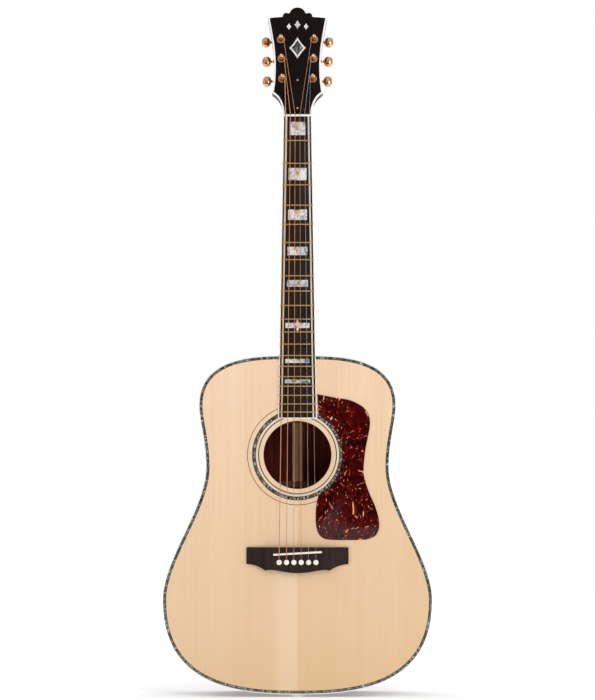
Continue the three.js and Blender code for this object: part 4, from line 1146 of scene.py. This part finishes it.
def inlays():
    """Shell blocks in two halves with a wedge of darker shell between them, and dots on the edge."""
    middle_of = lambda fret: (fret_y(fret) + fret_y(fret - 1)) / 2
    dot = turned(oblong(0, 0.9, 0.6, -0.05), 16)
    for fret, width, height, left, right in INLAYS:
        y, half = middle_of(fret), width / 2
        low, high, wedge = y - height / 2, y + height / 2, 0.17 * width
        for name, shell, corners in (
            ("left", left, [(-half, low), (0, low), (-wedge, high), (-half, high)]),
            ("right", right, [(0, low), (half, low), (half, high), (wedge, high)]),
            ("wedge", "warm", [(0, low), (wedge, high), (-wedge, high)]),
        ):
            on_crown(f"inlay_{fret:02d}_{name}", corners, 0.03, PEARLS[shell])
    for name, up, radius, height, sides, proud, shell in (
        ("oval", 0, 4.1, 5.6, 28, 0.08, "warm"), ("tip_1", -6.4, 1.5, 1.5, 16, 0.06, "white"),
        ("tip_2", 6.4, 1.5, 1.5, 16, 0.06, "white"),
    ):
        outline = circle(radius, sides, (0, middle_of(12) + up), height)
        make(f"inlay_12_{name}", plate(outline, BOARD_TOP - 1, BOARD_TOP + proud), PEARLS[shell])
    for fret, *_ in INLAYS[1:]:
        y = middle_of(fret)
        at_edge = lambda a, b, c: (c - board_half(y), y + a, 3.4 + b)
        make(f"side_dot_{fret:02d}", placed(dot, at_edge), BLACK_LINE)


def nut():
    """A bone nut with six slots, rounded down towards the headstock."""
    front, rear, half, top = NUT_Y, NUT_REAR, NUT_WIDTH / 2, 8.7
    stations = [(-half, top - 1.0), (-half + 0.3, top - 0.4), (-half + 0.9, top - 0.05), (-half + 1.6, top)]
    for n in reversed(STRINGS):
        x, reach = nut_x(n), STRING_RADII[n - 1] + 0.12
        stations += [(x - reach, top), (x - reach + 0.04, SLOT_BOTTOM)]
        stations += [(x + reach - 0.04, SLOT_BOTTOM), (x + reach, top)]
    stations += [(-x, z) for x, z in reversed(stations[:4])]
    rows = []
    for x, z in stations:
        section = [
            (front, BOARD_UNDER), (front, z - 0.35), (front + 0.35, z), (front + 1.4, z),
            (rear - 0.7, z - 0.6), (rear, z - 1.6), (rear, BOARD_UNDER),
        ]
        rows.append([(x, y, up) for y, up in section])
    make("nut_bone", loft(rows), BONE, stands_for=["nut"])


# ---------------------------------------------------------------- the headstock

# Each lozenge's half width and half height, its middle, how far it stands out, and its look
HEAD_INLAYS = (
    ("frame", 12.5, 17.5, (0, 106), 0.04, PEARLS["white"]), ("line", 9.0, 12.8, (0, 106), 0.06, BLACK),
    ("heart", 7.6, 11.0, (0, 106), 0.08, ABALONE), ("left", 3.6, 5.4, (-13, 141), 0.04, PEARLS["white"]),
    ("middle", 4.6, 7.0, (0, 144), 0.04, PEARLS["white"]), ("right", 3.6, 5.4, (13, 141), 0.04, PEARLS["white"]),
)


def head_face():
    """The black face, its white binding down both sides, and plain shell inlays."""
    bound = [(along(HEAD_SIDE, HEAD_FOOT, 1, 0), HEAD_FOOT)] + [p for p in HEAD_SIDE if p[1] > HEAD_FOOT + 0.3]
    inner = inset(bound, HEAD_BINDING, closed=False)
    corner = (inner[-1][0], inner[-1][1] + 0.45)
    half = inner[:-1] + [corner] + [p for p in CREST if p[0] < corner[0]]
    veneer = plate(half + mirrored(half)[1:], 0.05 - HEAD_LIP, 0, round_high=0.25)
    make("head_veneer", placed(veneer, head), BLACK, stands_for=["headstock_overlay"])
    section = [(HEAD_BINDING, -OVERLAY), (0, -OVERLAY), (0, -0.5), (0.15, -0.15), (0.5, 0), (HEAD_BINDING, 0)]
    under = oblong(HEAD_BINDING, 0, -HEAD_LIP, -OVERLAY)
    for kind, line, shape, look in (
        ("binding", bound, section, BINDING), ("line", [p for p in bound if p[1] > 0.5], under, BLACK_LINE),
    ):
        loops = [inset(line, by, closed=False) for by, _ in shape]
        for name, side in SIDES.items():
            rows = [[head(side * x, s, h) for (x, s), (_, h) in zip(row, shape)] for row in zip(*loops)]
            make(f"head_{kind}_{name}", loft(rows), look)
    for name, half_x, half_s, middle, proud, look in HEAD_INLAYS:
        make(f"head_inlay_{name}", placed(plate(lozenge(half_x, half_s, middle), -1, proud), head), look)


def lozenge(half_x, half_s, middle):
    """A pointed outline with hollow sides."""
    tips, curve = [(half_x, 0), (0, half_s), (-half_x, 0), (0, -half_s), (half_x, 0)], []
    for (x0, s0), (x1, s1) in zip(tips, tips[1:]):
        curve += bezier(((x0, s0), (0.42 * (x0 + x1), 0.42 * (s0 + s1)), (x1, s1)), 6)
    return [(middle[0] + x, middle[1] + s) for x, s in curve]


def screw(name, place, radius, body="root"):
    """A small domed screw with a cross slot."""
    dome = [(1, 0.1), (0.85, 0.35), (0.45, 0.55), (0, 0.6)]
    profile = [(0, -0.6), (radius, -0.6)] + [(radius * share, z) for share, z in dome]
    piece = make(name, placed(turned(profile, 20), place), GOLD, body)
    for width, length in ((radius * 0.22, radius * 0.75), (radius * 0.75, radius * 0.22)):
        carve(piece, placed(box(-width, width, -length, length, 0.15, 2), place))


def rod_cover():
    half = chain((((10, 3), (11, 22), (7.5, 44)), ((7.5, 44), (7, 54), (4, 58), (0, 60))), 8)
    outline = half + mirrored(half[:-1])
    cover = placed(plate(outline, 0.05, 1.9, round_high=0.5), head)
    make("rod_cover", cover, BLACK, stands_for=["truss_rod_cover"])
    for i, s in enumerate((8.1, 53.4)):
        screw(f"rod_cover_screw_{i + 1}", lambda x, y, z: head(x, y + s, z + 1.8), 1.5)


# ---------------------------------------------------------------- the tuners


def rounded_box(west, east, south, north, corner, steps=6):
    centres = oblong(east - corner, west + corner, north - corner, south + corner)
    made = []
    for centre, quarter in zip([centres[3], *centres], (-1, 0, 1, 2)):
        made += arc(centre, corner, quarter * math.pi / 2, (quarter + 1) * math.pi / 2, steps)
    return made


def gear(width, bore):
    """A toothed wheel about z, its teeth leaning with the worm's thread."""
    root, tip = WHEEL_RADIUS - 0.6, WHEEL_RADIUS + 0.45
    lean = WORM_PITCH / (2 * math.pi * 2.4) / WHEEL_RADIUS
    rows = []
    for level in range(5):
        z = width * (level / 4 - 0.5)
        ring = []
        for tooth in range(TEETH):
            middle = math.pi / 2 + 2 * math.pi * tooth / TEETH + z * lean
            for radius, offset in ((root, -0.16), (root, -0.14), (tip, -0.04), (tip, 0.04), (root, 0.14)):
                ring.append((radius * math.cos(middle + offset), radius * math.sin(middle + offset), z))
        rows.append(ring)
    for row in (rows[4], rows[0]):
        rows.append([(x, y, row[0][2]) for x, y in onto_circle([p[:2] for p in row], bore)])
    return loft(rows, ring=True)


def hexagon_nut(low, high, size, bore):
    """A six-sided nut about z with a round hole, chamfered at the top."""
    rim = subdivided(arc((0, 0), size, 0.2, 0.2 + 2 * math.pi, 6)[:-1], 6)
    rows = [[(x * share, y * share, z) for x, y in rim] for share, z in ((1, low), (1, high - 0.45), (0.94, high))]
    rows += [[(x, y, z) for x, y in onto_circle(rim, bore)] for z in (high, low)]
    return loft(rows, ring=True)


def worm(radius, throw, turns, sides=16, steps=20):
    """A thread along x: an off-centre round bar, twisted."""
    rows, length = [], turns * WORM_PITCH
    for i in range(turns * steps + 1):
        x = length * (i / (turns * steps) - 0.5)
        c, s = math.cos(2 * math.pi * x / WORM_PITCH), math.sin(2 * math.pi * x / WORM_PITCH)
        rows.append([(x, y * c - z * s, y * s + z * c) for y, z in circle(radius, sides, (throw, 0))])
    return loft(rows)


def egg(half_x, half_y, half_z, power=2.25, rings=18, sides=32):
    """A plump oval about x."""
    plump = lambda value: math.copysign(abs(value) ** (2 / power), value)
    rows = []
    for i in range(rings + 1):
        across = -math.cos(math.pi * i / rings)
        size = (1 - min(1, abs(across)) ** power) ** (1 / power)
        rows.append([
            (half_x * across, half_y * size * plump(y), half_z * size * plump(z)) for y, z in circle(1, sides)
        ])
    return loft(rows, caps=False)


def tuner(string):
    side = side_of(string)
    px, ps, button_x = post_of(string)
    name, post_body, button_body = f"tuner_{string}", f"tuner_{string}_post", f"tuner_{string}_button"
    at_post = lambda x, y, z: head(px + side * x, ps + y, z)
    on_axis = lambda x, y, z: at_post(x, y, GEAR_PLANE + z)
    on_worm = lambda x, y, z: on_axis(x, WORM_OFFSET + y, z)
    outwards = lambda a, b, c: on_worm(c, b, a)
    reach = abs(button_x) - abs(px)

    def add(part, shape, place, body="root", look=GOLD, **more):
        return make(f"{name}_{part}", placed(shape, place), look, body, **more)

    shell = plate(rounded_box(-8.5, 9.5, -8, 12, 4.6), -31.5, HEAD_BACK - 0.02, round_low=3.2)
    case = add("case", shell, at_post, stands_for=[f"{name}_housing"])
    lug = arc((0, -10), 3.2, math.pi, 2 * math.pi, 12) + [(3.2, -7), (-3.2, -7)]
    carve(case, placed(plate(lug, -18.2, HEAD_BACK - 0.1), at_post), "UNION")
    collar = turned([(0, 8.8), (3.6, 8.8), (3.6, 10.4), (3.1, 10.9), (0, 10.9)], 24)
    carve(case, placed(collar, outwards), "UNION")
    carve(case, placed(plate(rounded_box(-6.6, 6.8, -6, 9.8, 3.0), -29.2, HEAD_BACK - 1.8), at_post))
    carve(case, placed(turned(oblong(0, 1.6, 4, 13), 20), outwards))
    screw(f"{name}_case_screw", lambda x, y, z: at_post(x, y - 9.9, -18.1 - z), 1.9)

    washer = [(3.4, 0.02), (6.0, 0.02), (6.0, 0.55), (5.7, 0.8), (3.4, 0.8)]
    add("washer", turned(washer, 36, hollow=True), at_post)
    add("bushing", hexagon_nut(0.8, 2.75, 5.3, 3.3), at_post)

    profile = [
        (0, GEAR_PLANE - 2.4), (2.6, GEAR_PLANE - 2.4), (2.85, GEAR_PLANE - 2.1), (2.85, 3.0), (3.0, 3.4),
        (2.95, 4.4), (2.7, 5.8), (2.6, 7.0), (2.62, 8.2), (2.8, 9.6), (3.0, 11.2), (3.0, 12.6), (2.75, 13.2),
        (2.3, 13.5), (1.2, 13.5), (0.9, 13.3), (0, 13.3),
    ]
    post = add("peg", turned(profile, 32), at_post, post_body, stands_for=[post_body])
    carve(post, placed(turned(oblong(0, 0.9, -8, 8), 14), lambda a, b, c: at_post(a, c, COIL_TOP + b)))
    add("wheel", gear(3, 2.87), on_axis, post_body, STEEL)

    on_thread = lambda x, y, z: head(px + x, ps + WORM_OFFSET + z, GEAR_PLANE - y)
    add("worm", worm(1.9, 0.5, 2), on_thread, button_body, STEEL)
    neck_x = reach - 6.85
    spindle = [
        (0, 3.0), (1.25, 3.0), (1.25, 11.1), (1.9, 11.2), (2.4, 11.7), (2.4, 12.4), (1.8, 13.2),
        (1.55, neck_x - 1.6), (1.7, neck_x - 0.6), (2.3, neck_x + 0.4), (2.3, neck_x + 1.6), (0, neck_x + 1.6),
    ]
    add("spindle", turned(spindle, 24), outwards, button_body)
    knob = egg(6.85, 8.1, 4.2)
    add("knob", knob, lambda x, y, z: on_worm(x + reach, y, z), button_body, stands_for=[button_body])
    screw(f"{name}_knob_screw", lambda x, y, z: on_worm(reach + 6.75 + z * 0.4, y, x), 1.7, button_body)


# ---------------------------------------------------------------- the strings


def string_piece(string):
    """A string: its ball and straight wire, and the turns round its post, which ride on the post."""
    radius, side, look = STRING_RADII[string - 1], side_of(string), WIRES[string]
    px, ps, _ = post_of(string)
    x, end_x = pin_x(string), nut_x(string)
    saddle_y = SADDLE_Y + SADDLE_SLOPE * x
    saddle_z = extent("saddle")["z"][1] + 0.02 + radius
    nut_z = SLOT_BOTTOM + radius
    drop_y, ball_z = PIN_Y + 3.45, -8.4
    share_at = lambda y: (y - saddle_y) / (NUT_Y - saddle_y)
    post_start = Vector(head(px - side * (COIL_START_RADIUS + radius), ps, COIL_FOOT))
    nut_rear = Vector((end_x, NUT_REAR - 0.3, nut_z - 0.3))
    path = [(x, drop_y, ball_z)]
    path += spline([
        (x, drop_y, 2), (x, drop_y, 5.4), (x, drop_y + 0.7, 7.4 + radius), (x, drop_y + 2.6, 8.9 + radius),
        (x, saddle_y - 2.2, saddle_z - 0.6),
    ], 4)
    path += [(x, saddle_y - 1.1, saddle_z - 0.17), (x, saddle_y, saddle_z)]
    past = saddle_y + 1.2
    path += [(mix(x, end_x, share_at(past)), past, saddle_z - 0.01)]
    path += [(mix(x, end_x, share_at(y)), y, mix(saddle_z, nut_z, share_at(y))) for y in (400, 600, NUT_Y - 1)]
    path += [(end_x, NUT_Y + 0.8, nut_z), (end_x, NUT_Y + 1.8, nut_z - 0.05), tuple(nut_rear)]
    path += [tuple(nut_rear.lerp(post_start, share)) for share in (0.03, 0.5, 1)]
    make(f"string_{string}_wire", tube(path, radius), look, stands_for=[f"string_{string}"])
    ball = placed(egg(1.4, 1.4, 1.4, 2, 8, 12), lambda a, b, c: (a + x, b + drop_y, c + ball_z))
    make(f"string_{string}_ball", ball, (GOLD[0], look[1]))

    turns, steps = 2.25, 22
    coil = []
    for i in range(int(turns * steps) + 1):
        share = i / (turns * steps)
        angle = (math.pi if side > 0 else 0) - side * share * turns * 2 * math.pi
        h = mix(COIL_FOOT, COIL_TOP, share**0.9)
        post_radius = 2.62 + 0.16 * max(0, h - 8.2)
        reach = mix(COIL_START_RADIUS, post_radius, smooth(share * 6)) + radius
        coil.append(head(px + reach * math.cos(angle), ps + reach * math.sin(angle), h))
    coil += [head(px, ps + by, COIL_TOP) for by in (2.2, 0, -3.9)]
    make(f"string_{string}_coil", tube(coil, radius, 8), look, f"tuner_{string}_post")


# ---------------------------------------------------------------- what the CAD model already shapes


def dress(look, *names):
    for name in names:
        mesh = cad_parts[name].data
        mesh.materials.clear()
        mesh.materials.append(look[0])


def interior():
    dress(BARE_SPRUCE, "top_bracing", "transverse_brace", "back_strip")
    dress(BARE_MAHOGANY, "neck_block", "tail_block", *[f"back_brace_{n}" for n in (1, 2, 3, 4)])
    dress(BARE_MAHOGANY, *[f"lining_{face}_{side}" for face in ("top", "back") for side in SIDES])
    dress(MAPLE, "bridge_plate")
    dress(STEEL, "truss_rod")


# ---------------------------------------------------------------- floor, light and camera

ROOM = (0.05, 0.85)  # how bright the room is straight in front and behind, and above or beside
# Each lamp's name, place, aim, width and height, watts and colour
LAMPS = (
    ("key", (1.2, -2.8, 0.9), (0, 0, -0.3), (0.6, 1.8), 31, (1.0, 0.99, 1.0)),
    ("fill", (-2.3, -2.4, 0.9), (0, 0, -0.3), (1.0, 1.4), 3, (1.0, 0.99, 1.0)),
    ("back_left", (-1.6, 2.2, 0.9), (0, 0, -0.5), (1.2, 1.6), 24, (1, 1, 1)),
    ("back_right", (1.8, 2.0, 0.2), (0, 0, -0.5), (1.0, 1.4), 20, (1, 1, 1)),
)


def floor():
    size, level = 3.2, CAD_BOX[0].z - 0.0005
    mesh = bpy.data.meshes.new("floor")
    corners = [(-size, -size, level), (size, -size, level), (size, size, level), (-size, size, level)]
    mesh.from_pydata(corners, [], [(0, 1, 2, 3)])
    mesh.materials.append(plain_floor())
    put("floor", mesh)


def lamp(name, place, aim, size, watts, colour):
    data = bpy.data.lights.new(name, "AREA")
    data.shape, data.size, data.size_y, data.energy, data.color = "RECTANGLE", *size, watts, colour
    light = put(name, data)
    light.location = place
    light.rotation_euler = (Vector(aim) - Vector(place)).to_track_quat("-Z", "Y").to_euler()


def studio():
    """White behind the guitar, and round it a room that is brighter above and at its sides."""
    world = bpy.context.scene.world = bpy.data.worlds.new("studio")
    r = Recipe(world, "World Output")
    x, y, z = r.split(r.add("TexCoord", out="Generated"), 0).node.outputs
    above = r.level(z, 0.15, 0.95)
    beside = r.level(r.add("Math", {0: x}, operation="ABSOLUTE"), 0.3, 0.95)
    behind = r.level(y, 0.1, 0.7, 1.0, 0.4)
    lit = r.maths("MULTIPLY", r.maths("MAXIMUM", above, beside), behind)
    room = r.add("Background", {"Color": WHITE, "Strength": r.level(lit, 0, 1, *ROOM)})
    backdrop = r.add("Background", {"Color": WHITE, "Strength": 1.0})
    seen = r.add("LightPath", out="Is Camera Ray")
    r.fill(r.shader, {"Surface": r.add("MixShader", {0: seen, 1: room, 2: backdrop})})
    for row in LAMPS:
        lamp(*row)
    bpy.context.scene.view_settings.view_transform = "Standard"


def camera():
    """The photograph's long lens, from a little below the middle and tipped slightly up."""
    data = bpy.data.cameras.new("camera")
    data.lens, data.sensor_width = 137.43, 36
    data.clip_start, data.clip_end = 0.1, 50
    view, tip = put("camera", data), math.radians(2.4)
    view.location = (0, -4.0025, -0.5430)
    view.rotation_euler = Vector((0, math.cos(tip), math.sin(tip))).to_track_quat("-Z", "Y").to_euler()
    bpy.context.scene.camera = view


camera()
studio()
floor()
soundboard()
edges()
back()
ribs()
tail_strip()
rosette()
pickguard()
bridge()
saddle()
pins()
tail_pin()
neck()
heel_cap()
fingerboard()
frets()
inlays()
nut()
head_face()
rod_cover()
for number in STRINGS:
    tuner(number)
    string_piece(number)
interior()

bpy.context.view_layer.update()
